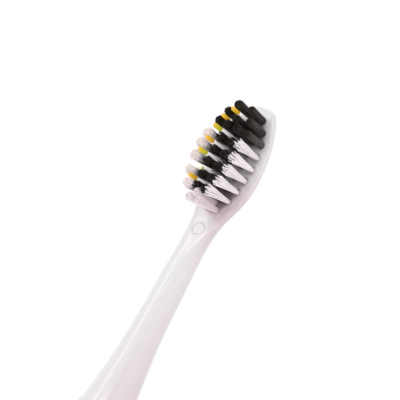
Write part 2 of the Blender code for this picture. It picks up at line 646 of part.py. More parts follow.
def build_motor(materials, handle, drive):
    """Resonance motor: poles and coils in a steel case, magnets on a yoke round the shaft."""
    plate = add_piece(
        "motor_end_plate",
        tube(BEARING_RADIUS + GAP, MOTOR_RADIUS, MOTOR_Z, MOTOR_Z + END_PLATE_THICKNESS),
        materials["steel"], handle,
    )
    for place, label in screw_places():
        drill = rod(SCREW_RADIUS + GAP, MOTOR_Z - GAP, CASE_Z, 12, place)
        cut(plate, "plate_drill_" + label, drill)
        head_top = BULKHEAD_Z - GAP
        screw = revolve([
            (0.0, head_top - SCREW_HEAD_HEIGHT), (0.7 * SCREW_HEAD_RADIUS, head_top - SCREW_HEAD_HEIGHT),
            (SCREW_HEAD_RADIUS, head_top - 0.6 * SCREW_HEAD_HEIGHT), (SCREW_HEAD_RADIUS, head_top),
            (SCREW_RADIUS, head_top), (SCREW_RADIUS, CASE_Z - 2 * GAP), (0.0, CASE_Z - 2 * GAP),
        ], 12, place)
        add_piece("motor_screw_" + label, screw, materials["steel"], handle)

    seat = BEARING_RADIUS + GAP
    nose = seat + MOTOR_WALL
    nose_top = CASE_TOP + NOSE_HEIGHT
    hole = SHAFT_BORE + CASE_HOLE_GAP
    inner_edge = CASE_EDGE + MOTOR_WALL / 2
    case = revolve([
        (MOTOR_RADIUS - MOTOR_WALL, CASE_Z), (MOTOR_RADIUS, CASE_Z), (MOTOR_RADIUS, CASE_TOP - CASE_EDGE),
        (MOTOR_RADIUS - CASE_EDGE, CASE_TOP), (nose, CASE_TOP), (nose, nose_top), (seat, nose_top),
        (seat, CASE_TOP + 2 * GAP), (hole, CASE_TOP + 2 * GAP), (hole, CASE_TOP - MOTOR_WALL),
        (MOTOR_RADIUS - inner_edge, CASE_TOP - MOTOR_WALL),
        (MOTOR_RADIUS - MOTOR_WALL, CASE_TOP - inner_edge),
    ])
    add_piece("motor_case", case, materials["steel"], handle)
    upper = CASE_TOP + 3 * GAP
    add_piece("bearing_upper", tube(SHAFT_BORE, BEARING_RADIUS, upper, upper + BEARING_HEIGHT, 24),
              materials["bearing"], handle)
    add_piece("bearing_lower", tube(SHAFT_BORE, BEARING_RADIUS, MOTOR_Z, MOTOR_Z + BEARING_HEIGHT, 24),
              materials["bearing"], handle)
    damper_low = ROTOR_MIDDLE
    damper_high = damper_low + DAMPER_HEIGHT
    damper = tube(MOTOR_RADIUS + GAP, inner_radius(damper_high) - GAP, damper_low, damper_high)
    add_piece("damper_ring", damper, materials["rubber"], handle)

    clip_low = CASE_Z + 2 * GAP
    add_piece("retaining_ring", tube(SHAFT_BORE, YOKE_RADIUS, clip_low, clip_low + RING_HEIGHT, 24),
              materials["spring"], drive)
    low = ROTOR_MIDDLE - ROTOR_LENGTH / 2
    high = ROTOR_MIDDLE + ROTOR_LENGTH / 2
    add_piece("rotor_yoke", tube(SHAFT_BORE, YOKE_RADIUS, low, high, 24), materials["steel"], drive)
    pole_face = MAGNET_RADIUS + AIR_GAP
    half_angle = math.degrees(math.asin(POLE_WIDTH / 2 / pole_face))
    pole_half = POLE_HEIGHT / 2
    for angle, label in ((0.0, "right"), (180.0, "left")):
        arc = arc_outline(MAGNET_INSIDE, MAGNET_RADIUS, angle, MAGNET_HALF_ANGLE)
        magnet = extrude(arc, low + GAP, high - GAP, upright)
        add_piece("rotor_magnet_" + label, magnet, materials["magnet"], drive)
        side = 1 if angle == 0.0 else -1
        face = arc_outline(pole_face, pole_face, angle, half_angle, 4)[:5]
        back_angle = math.degrees(math.asin(POLE_WIDTH / 2 / STATOR_RADIUS))
        back = arc_outline(STATOR_RADIUS, STATOR_RADIUS, angle, back_angle, 4)[:5]
        pole = extrude(back + face[::-1], ROTOR_MIDDLE - pole_half, ROTOR_MIDDLE + pole_half, upright)
        add_piece("stator_pole_" + label, pole, materials["steel"], handle)
        reach = COIL_WIDTH / 2
        span = sorted((side * COIL_INSIDE, side * COIL_OUTSIDE))
        ends = pole_half + GAP + (COIL_WIDTH - POLE_WIDTH) / 2
        coil = box(span[0], span[1], -reach, reach, ROTOR_MIDDLE - ends, ROTOR_MIDDLE + ends)
        winding = add_piece("stator_coil_" + label, coil, materials["copper"], handle)
        hole = POLE_WIDTH / 2 + GAP
        window = box(span[0] - GAP, span[1] + GAP, -hole, hole,
                     ROTOR_MIDDLE - pole_half - GAP, ROTOR_MIDDLE + pole_half + GAP)
        cut(winding, "coil_window_" + label, window)


def build_shaft(material, drive):
    """One turned shaft from the lower bearing to the brush head, with a shoulder and a flat."""
    foot = MOTOR_Z + GAP
    shaft = revolve([
        (0.0, foot), (SHAFT_RADIUS, foot), (SHAFT_RADIUS, SHOULDER_Z), (SHOULDER_RADIUS, SHOULDER_Z),
        (SHOULDER_RADIUS, SHOULDER_TOP), (SHAFT_RADIUS, SHOULDER_TOP),
        (SHAFT_RADIUS, SHAFT_TIP_Z - SHAFT_EDGE), (SHAFT_RADIUS - SHAFT_EDGE, SHAFT_TIP_Z),
        (0.0, SHAFT_TIP_Z),
    ], SMALL_ROUND)
    piece = add_piece("drive_shaft", shaft, material, drive)
    reach = 2 * SHAFT_RADIUS
    beside_flat = box(-reach, reach, SHAFT_FLAT, reach, SHAFT_TIP_Z - FLAT_LENGTH, SHAFT_TIP_Z + GAP)
    cut(piece, "shaft_flat", beside_flat)


def head_stations():
    """Cross-sections of the brush head: (distance from the tip, half width, front y, back y)."""
    wide = PLATE_HALF_WIDTH
    front = PLATE_FRONT
    thick = PLATE_THICKNESS
    heel = PLATE_END
    neck = NECK_RADIUS
    skirt = HEAD_LENGTH - COLLAR_HEIGHT
    flare = skirt - NECK_NARROWEST
    ramp = NECK_NARROWEST - heel
    rise = COLLAR_RADIUS - neck
    return (
        (0.0000, 0.05 * wide, front + 0.37 * thick, front + 0.47 * thick),
        (0.0004, 0.29 * wide, front + 0.15 * thick, front + 0.62 * thick),
        (0.0013, 0.47 * wide, front + 0.04 * thick, front + 0.75 * thick),
        (0.100 * heel, 0.585 * wide, front, front + 0.84 * thick),
        (0.190 * heel, 0.74 * wide, front, front + 0.92 * thick),
        (0.320 * heel, 0.905 * wide, front, front + 0.98 * thick),
        (0.470 * heel, 0.985 * wide, front, front + thick),
        (0.620 * heel, wide, front, front + thick),
        (0.750 * heel, 0.935 * wide, front, front + 0.98 * thick),
        (0.870 * heel, 0.775 * wide, front, front + 0.93 * thick),
        (0.970 * heel, 0.61 * wide, front - 0.02 * thick, front + 0.87 * thick),
        (heel + 0.32 * ramp, 1.08 * neck, -0.29 * neck, 1.06 * neck),
        (heel + 0.70 * ramp, neck, -0.58 * neck, 1.02 * neck),
        (heel + 1.25 * ramp, neck, -0.90 * neck, neck),
        (NECK_NARROWEST + 0.13 * flare, 1.03 * neck, -1.03 * neck, 1.03 * neck),
        (NECK_NARROWEST + 0.30 * flare, neck + 0.07 * rise, -neck - 0.07 * rise, neck + 0.07 * rise),
        (NECK_NARROWEST + 0.47 * flare, neck + 0.12 * rise, -neck - 0.12 * rise, neck + 0.12 * rise),
        (NECK_NARROWEST + 0.60 * flare, neck + 0.20 * rise, -neck - 0.20 * rise, neck + 0.20 * rise),
        (NECK_NARROWEST + 0.71 * flare, neck + 0.31 * rise, -neck - 0.31 * rise, neck + 0.31 * rise),
        (NECK_NARROWEST + 0.81 * flare, neck + 0.47 * rise, -neck - 0.47 * rise, neck + 0.47 * rise),
        (NECK_NARROWEST + 0.90 * flare, neck + 0.71 * rise, -neck - 0.71 * rise, neck + 0.71 * rise),
        (NECK_NARROWEST + 0.96 * flare, neck + 0.88 * rise, -neck - 0.88 * rise, neck + 0.88 * rise),
        (skirt, neck + 0.955 * rise, -neck - 0.955 * rise, neck + 0.955 * rise),
    )


def head_section(half_width, front, back):
    """Oval section: flat-faced where the front lies near the axis, round where it is a neck."""
    roundness = min(1.0, max(0.0, -front / half_width))
    widest = front + (back - front) * (0.20 + 0.30 * roundness)
    front_power = 2.0 + 3.5 * (1.0 - roundness) ** 2
    back_power = 2.0 + 0.2 * (1.0 - roundness)
    points = []
    for i in range(HEAD_SIDES):
        angle = 2 * math.pi * i / HEAD_SIDES
        x_part, y_part = math.cos(angle), math.sin(angle)
        power = back_power if y_part >= 0.0 else front_power
        reach = back - widest if y_part >= 0.0 else widest - front
        x = half_width * math.copysign(abs(x_part) ** (2 / power), x_part)
        y = widest + reach * math.copysign(abs(y_part) ** (2 / power), y_part)
        points.append((x, y))
    return points


def pocket_half_width(distance, clearance):
    """Half width of the tuft plate's oval pocket at a distance from the tip."""
    share = abs(distance - FIELD_MIDDLE) / (POCKET_HALF_LENGTH - clearance)
    if share >= 1.0:
        return 0.0
    return (POCKET_HALF_WIDTH - clearance) * (1.0 - share ** POCKET_CURVE) ** (1 / POCKET_CURVE)


def oval_side(first, last, clearance, steps=18):
    """The +X edge of the pocket's oval between two distances, closely spaced at its ends."""
    points = []
    reach = POCKET_HALF_LENGTH - clearance
    start = math.acos(max(-1.0, min(1.0, (FIELD_MIDDLE - first) / reach)))
    end = math.acos(max(-1.0, min(1.0, (FIELD_MIDDLE - last) / reach)))
    for i in range(steps + 1):
        distance = FIELD_MIDDLE - reach * math.cos(start + (end - start) * i / steps)
        points.append((pocket_half_width(distance, clearance), distance))
    return points


def mirrored(edge, across=()):
    """A closed outline in world X and Z: its +X edge, points across, and the edge's mirror image."""
    other = [(-x, distance) for x, distance in reversed(edge) if x > 0.0]
    return [(x, TIP_Z - distance) for x, distance in [*edge, *across, *other]]


def seam(shift):
    """The zigzag between the two slices, from +X to -X, clear of the tufts on both sides."""
    last_row, above = TIP_ROWS[-1]
    first_row, below = MAIN_ROWS[0]
    middle = (last_row + first_row) / 2 + shift
    corners = [(x, middle + SEAM_SWING) for x in above] + [(x, middle - SEAM_SWING) for x in below]
    return sorted(corners, reverse=True)


def build_brush_head(materials, parent):
    """The moulded neck and plate, the ring on its foot and the insert that grips the shaft."""
    mesh_data = bmesh.new()
    rings = []
    for distance, half_width, front, back in smooth_through(head_stations(), 2):
        section = head_section(half_width, front, back)
        rings.append([mesh_data.verts.new((x, y, TIP_Z - distance)) for x, y in section])
    spigot = COLLAR_RADIUS - COLLAR_WALL - GAP
    skirt_z = TIP_Z - HEAD_LENGTH + COLLAR_HEIGHT
    foot_z = HEAD_FOOT_Z + 2 * GAP
    for height in (skirt_z, foot_z):
        rings.append([
            mesh_data.verts.new((
                spigot * math.cos(2 * math.pi * i / HEAD_SIDES),
                spigot * math.sin(2 * math.pi * i / HEAD_SIDES), height,
            ))
            for i in range(HEAD_SIDES)
        ])
    mesh_data.faces.new(rings[0])
    mesh_data.faces.new(list(reversed(rings[-1])))
    for ring, after in zip(rings, rings[1:]):
        bridge(mesh_data, ring, after)
    head = add_piece("brush_head_shell", mesh_data, materials["head"], parent)

    socket_top = SHAFT_TIP_Z + RUN_GAP + SOCKET_END_WALL
    flange_top = SOCKET_Z + SOCKET_FLANGE_HEIGHT
    clip_low = flange_top + CLIP_RISE
    clip_outer = SOCKET_RADIUS + GAP + CLIP_THICKNESS
    clip_top = clip_low + CLIP_HEIGHT
    skirt_inside = spigot - COLLAR_WALL
    cavity = revolve([
        (0.0, foot_z - GAP), (skirt_inside, foot_z - GAP), (skirt_inside, SOCKET_Z - 2 * GAP),
        (SOCKET_FLANGE_RADIUS + GAP, SOCKET_Z), (SOCKET_FLANGE_RADIUS + GAP, flange_top + GAP),
        (clip_outer + GAP, flange_top + GAP), (clip_outer + GAP, clip_top + GAP),
        (SOCKET_RADIUS + GAP, clip_top + GAP), (SOCKET_RADIUS + GAP, socket_top + GAP),
        (0.0, socket_top + GAP),
    ], 24)
    cut(head, "socket_cavity", cavity)
    pocket = mirrored(oval_side(FIELD_MIDDLE - POCKET_HALF_LENGTH, FIELD_MIDDLE + POCKET_HALF_LENGTH, 0.0))
    cut(head, "tuft_pocket", extrude(pocket, PLATE_FRONT - 4 * GAP, PLATE_FRONT + POCKET_DEPTH, facing))

    ring_top = skirt_z - GAP
    inner = COLLAR_RADIUS - COLLAR_WALL
    ring = revolve([
        (inner, HEAD_FOOT_Z), (COLLAR_RADIUS - COLLAR_EDGE, HEAD_FOOT_Z),
        (COLLAR_RADIUS, HEAD_FOOT_Z + COLLAR_EDGE), (COLLAR_RADIUS, ring_top - COLLAR_EDGE / 2),
        (COLLAR_RADIUS - COLLAR_EDGE / 2, ring_top), (inner, ring_top),
    ])
    add_piece("colour_ring", ring, materials["ring"], parent)

    bore_top = SHAFT_TIP_Z + RUN_GAP
    socket = add_piece("shaft_socket", revolve([
        (SHAFT_BORE, SOCKET_Z), (SOCKET_FLANGE_RADIUS, SOCKET_Z), (SOCKET_FLANGE_RADIUS, flange_top),
        (SOCKET_RADIUS, flange_top), (SOCKET_RADIUS, socket_top), (0.0, socket_top), (0.0, bore_top),
        (SHAFT_BORE, bore_top),
    ], SMALL_ROUND), materials["insert"], parent)
    key_low = SHAFT_TIP_Z - FLAT_LENGTH + GAP
    key = box(-SHAFT_RADIUS, SHAFT_RADIUS, SHAFT_FLAT + RUN_GAP, SOCKET_RADIUS * 0.8,
              key_low, bore_top + SOCKET_END_WALL / 2)
    join(socket, "socket_key", key)
    inner = SOCKET_RADIUS + GAP
    arc = arc_outline(inner, inner + CLIP_THICKNESS, 90.0, 180.0 - CLIP_MOUTH_ANGLE / 2, 16)
    add_piece("socket_clip", extrude(arc, clip_low, clip_top, upright), materials["spring"], parent)


def tuft_roots(rows):
    """Every tuft's (x, distance from the tip)."""
    return [(x, distance) for distance, across in rows for x in across]


def tuft_tip(root):
    x, distance = root
    return (x * (1 + SPREAD), distance + SPLAY * (distance - FIELD_MIDDLE))


def spacing(places, place):
    """Distance from one place to the nearest other one."""
    others = [math.dist(place, other) for other in places if other != place]
    return min(others)


def add_strand(mesh_data, root, tip, turn):
    """A three-sided strand from inside the slice to its tip."""
    low_y = PLATE_FRONT + SLICE_THICKNESS / 2
    high_y = PLATE_FRONT - BRISTLE_LENGTH
    angles = [turn + 2 * math.pi * i / 3 for i in range(3)]
    near, far = [], []
    for a in angles:
        dx, dz = STRAND_RADIUS * math.cos(a), STRAND_RADIUS * math.sin(a)
        near.append(mesh_data.verts.new((root[0] + dx, low_y, TIP_Z - root[1] + dz)))
        far.append(mesh_data.verts.new((tip[0] + dx, high_y, TIP_Z - tip[1] + dz)))
    mesh_data.faces.new(near)
    mesh_data.faces.new(list(reversed(far)))
    bridge(mesh_data, near, far)


def build_tufts(name, rows, outline, material, parent):
    """A slice of the tuft plate with its strands fused to it."""
    top = PLATE_FRONT + GAP / 6
    plate = extrude(outline, top, top + SLICE_THICKNESS - GAP / 6, facing)
    piece = add_piece(name, plate, material, parent)
    strands = bmesh.new()
    every_root = tuft_roots(ALL_ROWS)
    every_tip = [tuft_tip(root) for root in every_root]
    count = 0
    edge = STRAND_RADIUS + STRAND_SPACE
    pitch = 2 * STRAND_RADIUS + STRAND_SPACE
    for root in tuft_roots(rows):
        tip = tuft_tip(root)
        root_ring = min(TUFT_RADIUS - STRAND_RADIUS, spacing(every_root, root) / 2 - edge)
        tip_ring = min(root_ring * FLARE, spacing(every_tip, tip) / 2 - edge)
        add_strand(strands, root, tip, 0.0)
        count += 1
        steps = int(math.pi / math.asin(pitch / 2 / root_ring))
        for i in range(steps):
            angle = 2 * math.pi * i / steps
            low = (root[0] + root_ring * math.cos(angle), root[1] + root_ring * math.sin(angle))
            high = (tip[0] + tip_ring * math.cos(angle), tip[1] + tip_ring * math.sin(angle))
            add_strand(strands, low, high, -angle)
            count += 1
    join(piece, name + "_strands", strands)
    return count


def build_bristles(materials, parent):
    """Two slices of the tuft plate, parted between the tip zone's last row and the next."""
    first = FIELD_MIDDLE - POCKET_HALF_LENGTH + GAP
    last = FIELD_MIDDLE + POCKET_HALF_LENGTH - GAP
    upper_seam = seam(-GAP / 2)
    lower_seam = seam(GAP / 2)
    upper = mirrored(oval_side(first, upper_seam[0][1], GAP, 12), upper_seam)
    lower = mirrored(oval_side(lower_seam[0][1], last, GAP, 14)[::-1], lower_seam)
    count = build_tufts("bristle_plate_tip", TIP_ROWS, upper, materials["black_bristle"], parent)
    count += build_tufts("bristle_plate_main", MAIN_ROWS, lower, materials["bristle"], parent)
    print("strands:", count)


def make_materials():
    return {
        "shell": make_material("handle_plastic", (0.80, 0.75, 0.76), 0.25),
        "head": make_material("head_plastic", (0.82, 0.76, 0.77), 0.22),
        "ring": make_material("ring_plastic", (0.75, 0.62, 0.64), 0.3),
        "bezel": make_material("bezel_plastic", (0.55, 0.53, 0.54), 0.3),
        "cap": make_material("cap_plastic", (0.78, 0.73, 0.74), 0.35),
        "button": make_material("button_plastic", (0.72, 0.67, 0.68), 0.35),
        "lens": make_material("lamp_lens", (0.85, 0.85, 0.83), 0.1),
        "lamp": make_material("lamp", (0.9, 0.9, 0.8), 0.2),
        "rubber": make_material("rubber", (0.16, 0.16, 0.17), 0.8),
        "insert": make_material("insert_plastic", (0.62, 0.62, 0.62), 0.4),
        "frame": make_material("frame_plastic", (0.30, 0.31, 0.33), 0.5),
        "steel": make_material("steel", (0.56, 0.57, 0.58), 0.35, 1.0),
        "spring": make_material("spring_steel", (0.62, 0.62, 0.60), 0.25, 1.0),
        "shaft": make_material("shaft_steel", (0.68, 0.69, 0.70), 0.2, 1.0),
        "bearing": make_material("bronze", (0.50, 0.34, 0.18), 0.4, 1.0),
        "magnet": make_material("magnet", (0.36, 0.36, 0.38), 0.3, 1.0),
        "copper": make_material("copper_wire", (0.66, 0.30, 0.16), 0.35, 1.0),
        "cell": make_material("cell_wrap", (0.10, 0.28, 0.20), 0.4),
        "tab": make_material("nickel", (0.60, 0.58, 0.54), 0.3, 1.0),
        "board": make_material("board", (0.03, 0.17, 0.09), 0.5),
        "chip": make_material("chip", (0.02, 0.02, 0.022), 0.5),
        "black_bristle": make_material("black_filament", (0.02, 0.017, 0.016), 0.45),
        "bristle": make_material("white_filament", (0.80, 0.74, 0.75), 0.4),
    }


def main():
    clear_scene()
    materials = make_materials()
    handle = add_empty("handle_axis", Vector((0.0, 0.0, 0.0)))
    button = add_empty("button_axis", Vector((0.0, -handle_radius(BUTTON_HEIGHT), BUTTON_HEIGHT)))
    drive = add_empty("drive_axis", Vector((0.0, 0.0, SHOULDER_TOP)))
    head = add_empty("head_axis", Vector((0.0, 0.0, SOCKET_Z)))
    build_handle_shell(materials["shell"], handle)
    build_top(materials["bezel"], materials["rubber"], handle)
    build_base(materials["cap"], materials["rubber"], materials["copper"], materials["insert"], handle)
    build_chassis(materials["frame"], handle)
    build_power(materials["cell"], materials["tab"], materials["board"], materials["chip"], handle)
    build_button(materials, handle, button)
    build_motor(materials, handle, drive)
    build_shaft(materials["shaft"], drive)
    build_brush_head(materials, head)
    build_bristles(materials, head)


main()
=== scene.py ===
"""Looks of the sonic toothbrush: fine surfaces, filaments, finishes, light and camera.

Metres, +Z up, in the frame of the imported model. Distances named "down" run from the brush
head's tip towards the handle.
"""

import json
import math
import random

import bpy
from mathutils import Matrix, Vector


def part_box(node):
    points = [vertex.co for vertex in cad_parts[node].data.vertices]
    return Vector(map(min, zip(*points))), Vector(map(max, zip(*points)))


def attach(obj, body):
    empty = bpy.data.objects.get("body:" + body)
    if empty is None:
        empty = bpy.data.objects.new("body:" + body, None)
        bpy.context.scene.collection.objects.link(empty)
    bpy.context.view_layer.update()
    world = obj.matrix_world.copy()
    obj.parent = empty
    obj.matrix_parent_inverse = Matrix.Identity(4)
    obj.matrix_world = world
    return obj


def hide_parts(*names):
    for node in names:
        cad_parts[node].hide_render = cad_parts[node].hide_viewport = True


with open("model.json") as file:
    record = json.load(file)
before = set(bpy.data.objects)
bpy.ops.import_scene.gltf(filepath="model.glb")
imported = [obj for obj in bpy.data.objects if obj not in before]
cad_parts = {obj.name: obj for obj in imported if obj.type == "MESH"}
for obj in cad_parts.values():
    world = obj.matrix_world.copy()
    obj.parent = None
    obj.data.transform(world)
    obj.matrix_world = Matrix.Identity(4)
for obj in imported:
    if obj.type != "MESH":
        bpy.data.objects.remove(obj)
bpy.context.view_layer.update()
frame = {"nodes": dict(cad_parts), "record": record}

MM = 0.001

# Camera: a long lens, a little below the brush head, rolled so that the brush leans right
VIEW_AZIMUTH = 33.0
VIEW_ELEVATION = -4.1
VIEW_ROLL = 28.0
VIEW_WIDTH = 84.2 * MM          # what the picture spans at the head
VIEW_DISTANCE = 2.0
MIDDLE_RIGHT = -3.17 * MM       # the picture's middle, from the head's tip along the camera's axes
MIDDLE_UP = -23.68 * MM         # before it is rolled
SENSOR = 36.0
CLIP_START, CLIP_END = 0.01, 50.0

# Light: the world's, and for each lamp its direction along the picture's right, up and towards
# the camera, its distance, width and height in metres, its power in watts and its colour
WORLD_STRENGTH = 0.79
WORLD_COLOUR = (255, 253, 254)
LAMPS = {
    "key": ((-0.70, 0.50, 0.90), 1.1, 1.0, 1.0, 0.6, (255, 254, 254)),
    "strip": ((-0.83, 0.44, 0.33), 1.2, 0.42, 1.4, 2.2, (255, 254, 254)),
    "top": ((-0.44, 0.87, 0.20), 1.2, 0.5, 0.5, 0.5, (255, 254, 254)),
    "ramp": ((-0.18, 0.70, 0.70), 1.2, 0.55, 0.4, 1.1, (255, 254, 254)),
    "fill": ((0.70, 0.10, 0.90), 1.4, 1.3, 1.3, 2.1, (255, 252, 253)),
    "bounce": ((0.90, -0.40, 0.20), 1.3, 1.0, 1.0, 1.2, (255, 198, 210)),
}

# Floor: pale round the brush, and white for the rays that show the background further out
FLOOR_RADIUS = 3.0
FLOOR_SIDES = 96
FLOOR_CLOUDS = 0.2              # how wide they are
FADE_START, FADE_END = 0.05, 0.60
FADE_LEAST = 0.30

# Finishes: how wide their noises are, and how deep they stand out
NOISE_LOW, NOISE_HIGH = 0.3, 0.7    # most of a noise lies between these
CLOUD_WIDTH = 16.0 * MM
GLOSS_WIDTH = 15.0 * MM
PEEL_WIDTH, PEEL_DEPTH = 2.4 * MM, 0.0005 * MM
COAT_ROUGHNESS = 0.12
METAL_CLOUD_WIDTH = 3.0 * MM
TOOL_MARK_WIDTH, TOOL_MARK_DEPTH = 0.6 * MM, 0.002 * MM
TOOL_MARK_STRETCH = (1.0, 1.0, 12.0)
WIRE_WIDTH, WIRE_DEPTH = 1.9 * MM, 0.05 * MM
TRACK_WIDTH = 1.8 * MM
TRACK_START, TRACK_END = 0.32, 0.36
NYLON_WIDTH = 0.4 * MM
NYLON_STRETCH = (1.0, 0.2, 1.0)
FIRST_COLOUR, SECOND_COLOUR, MIXED_COLOUR = 6, 7, 2    # places of the mix node's sockets

# Angles above which an edge is sharp
SHARP_ANGLE, HEAD_SHARP_ANGLE, CUT_SHARP_ANGLE = 40.0, 50.0, 32.0

# Heights taken from the model
HEAD_LOW, HEAD_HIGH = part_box("brush_head_shell")
TIP_Z = HEAD_HIGH.z
FOOT_Z = HEAD_LOW.z

# Handle: outline of the housing, and the fine edges of the pieces round it
HANDLE_LOW, HANDLE_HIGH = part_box("handle_shell")
HANDLE_RADIUS = HANDLE_HIGH.x
HANDLE_TOP = HANDLE_HIGH.z
BASE_RADIUS = 13.3 * MM
TOP_RADIUS = 9.2 * MM
WIDEST_HEIGHT = 70.0 * MM
TOP_TAPER = 2.8
WALL = 1.8 * MM
GAP = 0.3 * MM
TURNED_SIDES = 128
EDGE_STEPS = 4                  # facets of a rounded edge
HOUSING_STEPS = 150             # up its outside
HOLLOW_STEPS = 30
HOUSING_SIDES = 192
LEDGE_HEIGHT = 2.0 * MM         # the shaft's seal sits on a ledge
LEDGE_BORE = 3.4 * MM
RIM_ROUNDING = 0.25             # mm

# Power button and lamp lens
BUTTON_LOW, BUTTON_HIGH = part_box("power_button")
BUTTON_MIDDLE = (BUTTON_LOW.z + BUTTON_HIGH.z) / 2
BUTTON_RADIUS = 4.6 * MM
BUTTON_DISH = 0.4 * MM
DIP_RADIUS = 8.4 * MM           # the housing sinks softly round the button
DIP_DEPTH = 0.35 * MM
LENS_LOW, LENS_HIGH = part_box("light_guide")
LENS_HALF_WIDTH = LENS_HIGH.x
LENS_END_STEPS = 20
# From the lens's back over its edge to its middle: share of the outline, and mm under the skin
LENS_RINGS = (
    (1.0, None), (1.0, 0.25), (0.97, 0.10), (0.92, 0.03), (0.84, 0.0), (0.6, 0.0), (0.3, 0.0), (0.02, 0.0),
)
BUTTON_SIDES = 96
FACE_STEPS = 24                 # from the middle of the button's face to its crown
# Shares of the button's radius: its dished face, its front edge, the groove and the lugs
CROWN_SHARE, EDGE_SHARE, GROOVE_SHARE, LUG_SHARE = 0.84, 0.93, 0.55, 0.7
GROOVE_DEPTH, GROOVE_WIDTH = 0.10 * MM, 0.14 * MM
EDGE_DROP = 0.25 * MM           # from the front edge to the side
STEM_RADIUS = 2.0 * MM
LUG_HALF_WIDTH, LUG_DEPTH = 1.3 * MM, 0.45 * MM

# Foot cap, top pieces and shaft
CAP_WALL = 1.4 * MM
SPIGOT_TOP = 9.0 * MM
SEAL_GROOVE_DEPTH = 0.9 * MM
WELL_RADIUS, POST_RADIUS = 4.6 * MM, 6.0 * MM
PLUG_RADIUS = TOP_RADIUS - WALL - GAP    # what fits in the housing's top
BOOT_BORE, BOOT_RADIUS = 2.2 * MM, 4.6 * MM
LIP_WIDTH, FOLD_WIDTH = 0.7 * MM, 1.1 * MM
RING_WALL = 0.9 * MM
SHAFT_RADIUS = 1.9 * MM
SHAFT_SIDES = 72
SHOULDER_HEIGHT = 3.2 * MM
FLAT_DEPTH, FLAT_LENGTH = 1.3 * MM, 13.0 * MM

# Plate, ramp and neck: (down, half width, front y, back y)
HEAD_STATIONS = tuple(tuple(value * MM for value in row) for row in (
    (0.0, 0.35, 1.30, 1.75),
    (0.4, 1.90, 0.45, 2.35),
    (1.0, 2.70, 0.05, 2.75),
    (1.8, 3.30, -0.14, 3.05),
    (3.7, 4.20, -0.20, 3.40),
    (7.2, 5.45, -0.20, 3.75),
    (11.7, 6.25, -0.20, 3.90),
    (16.4, 6.42, -0.20, 3.90),
    (19.4, 6.02, -0.20, 3.82),
    (21.9, 5.30, -0.22, 3.70),
    (24.0, 4.45, -0.26, 3.58),
    (26.0, 3.72, -0.42, 3.42),
    (28.0, 3.26, -0.86, 3.24),
    (30.0, 3.04, -1.46, 3.12),
    (32.4, 2.96, -2.16, 3.03),
    (35.2, 2.98, -2.76, 3.00),
    (38.4, 3.10, -3.06, 3.10),
    (46.6, 3.38, -3.38, 3.38),
    (54.0, 3.66, -3.66, 3.66),
    (59.6, 4.14, -4.14, 4.14),
    (64.4, 4.68, -4.68, 4.68),
    (68.4, 5.18, -5.18, 5.18),
    (71.8, 5.88, -5.88, 5.88),
    (74.4, 7.10, -7.10, 7.10),
    (76.5, 8.36, -8.36, 8.36),
))
# Painted rosy reflection on the moulding, in place of rosy light bounced onto it: down, how much, and the
# sides where it starts and is full, from -1 at the far edge to 1 at the near edge
PAINTED_ROSE_STATIONS = tuple((row[0] * MM,) + row[1:] for row in (
    (0.0, 0.0, -2.0, -1.0),
    (12.0, 0.0, -2.0, -1.0),
    (17.0, 0.45, -2.0, -1.0),
    (22.0, 1.0, -2.0, -1.0),
    (23.5, 1.0, -2.0, -1.0),
    (26.5, 1.0, 0.5, 1.0),
    (29.0, 0.9, 0.5, 1.0),
    (34.0, 0.35, 0.5, 1.0),
    (40.0, 0.1, 0.4, 1.0),
    (50.0, 0.15, -0.1, 0.9),
    (60.0, 0.35, -0.4, 0.7),
    (70.0, 0.6, -0.5, 0.6),
    (77.0, 0.6, -0.5, 0.6),
))
FRONT_STEPS = 112               # points across the plate side of a section
BACK_STEPS = 64
EDGE_CROWDING = 0.45            # share of a section's points that gather at its edges
PLATE_WIDEST, NECK_WIDEST = 0.20, 0.50    # where a section is widest, as a share of its depth
PLATE_POWER, BACK_POWER = 3.5, 0.2    # how much squarer than an ellipse a flat section is
TIP_END, TIP_STEP = 1.0 * MM, 0.06 * MM    # sections stand closest at the tip
PLATE_END, PLATE_STEP = 31.5 * MM, 0.13 * MM    # and close among the tufts and at the mark
NECK_STEP = 0.5 * MM
FIELD_END = 27.0 * MM           # past this the plate has no tufts
HOLE_RADIUS = 0.86 * MM         # a tuft's hole, with its soft edge
HOLE_DEPTH = 0.18 * MM
# Painted shade on the plate among the tufts, darker where they stand close and easing at the heel
SHADE_REACH = 1.7 * MM          # how far a tuft shades the plate round it
SHADE_STARTS = 0.9              # a place that one tuft shades stays light
SHADE_FULL = 0.6                # this much more is full shade
SHADE_CUTOFF = 3.0              # further off than this many reaches, a tuft adds none
HEEL_START, HEEL_END = 18.0 * MM, 24.0 * MM    # the tufts stand more openly here
HEEL_SHADE = 0.62               # share of the shade that is left at the heel
MARK_DOWN = 29.2 * MM           # round mould mark on the ramp
MARK_RADIUS, MARK_LINE = 1.4 * MM, 0.13 * MM
MARK_DEPTH = 0.17 * MM
MARK_SINK = 0.35                # share of the depth that stays inside the ring

# Hollow foot of the head, which takes the shaft's socket
HOLLOW_RADIUS, HOLLOW_WALL = 7.4 * MM, 0.9 * MM
SEAT_RADIUS, SEAT_HEIGHT = 5.8 * MM, 1.8 * MM
SOCKET_BORE = 3.2 * MM
BORE_END = 0.4 * MM

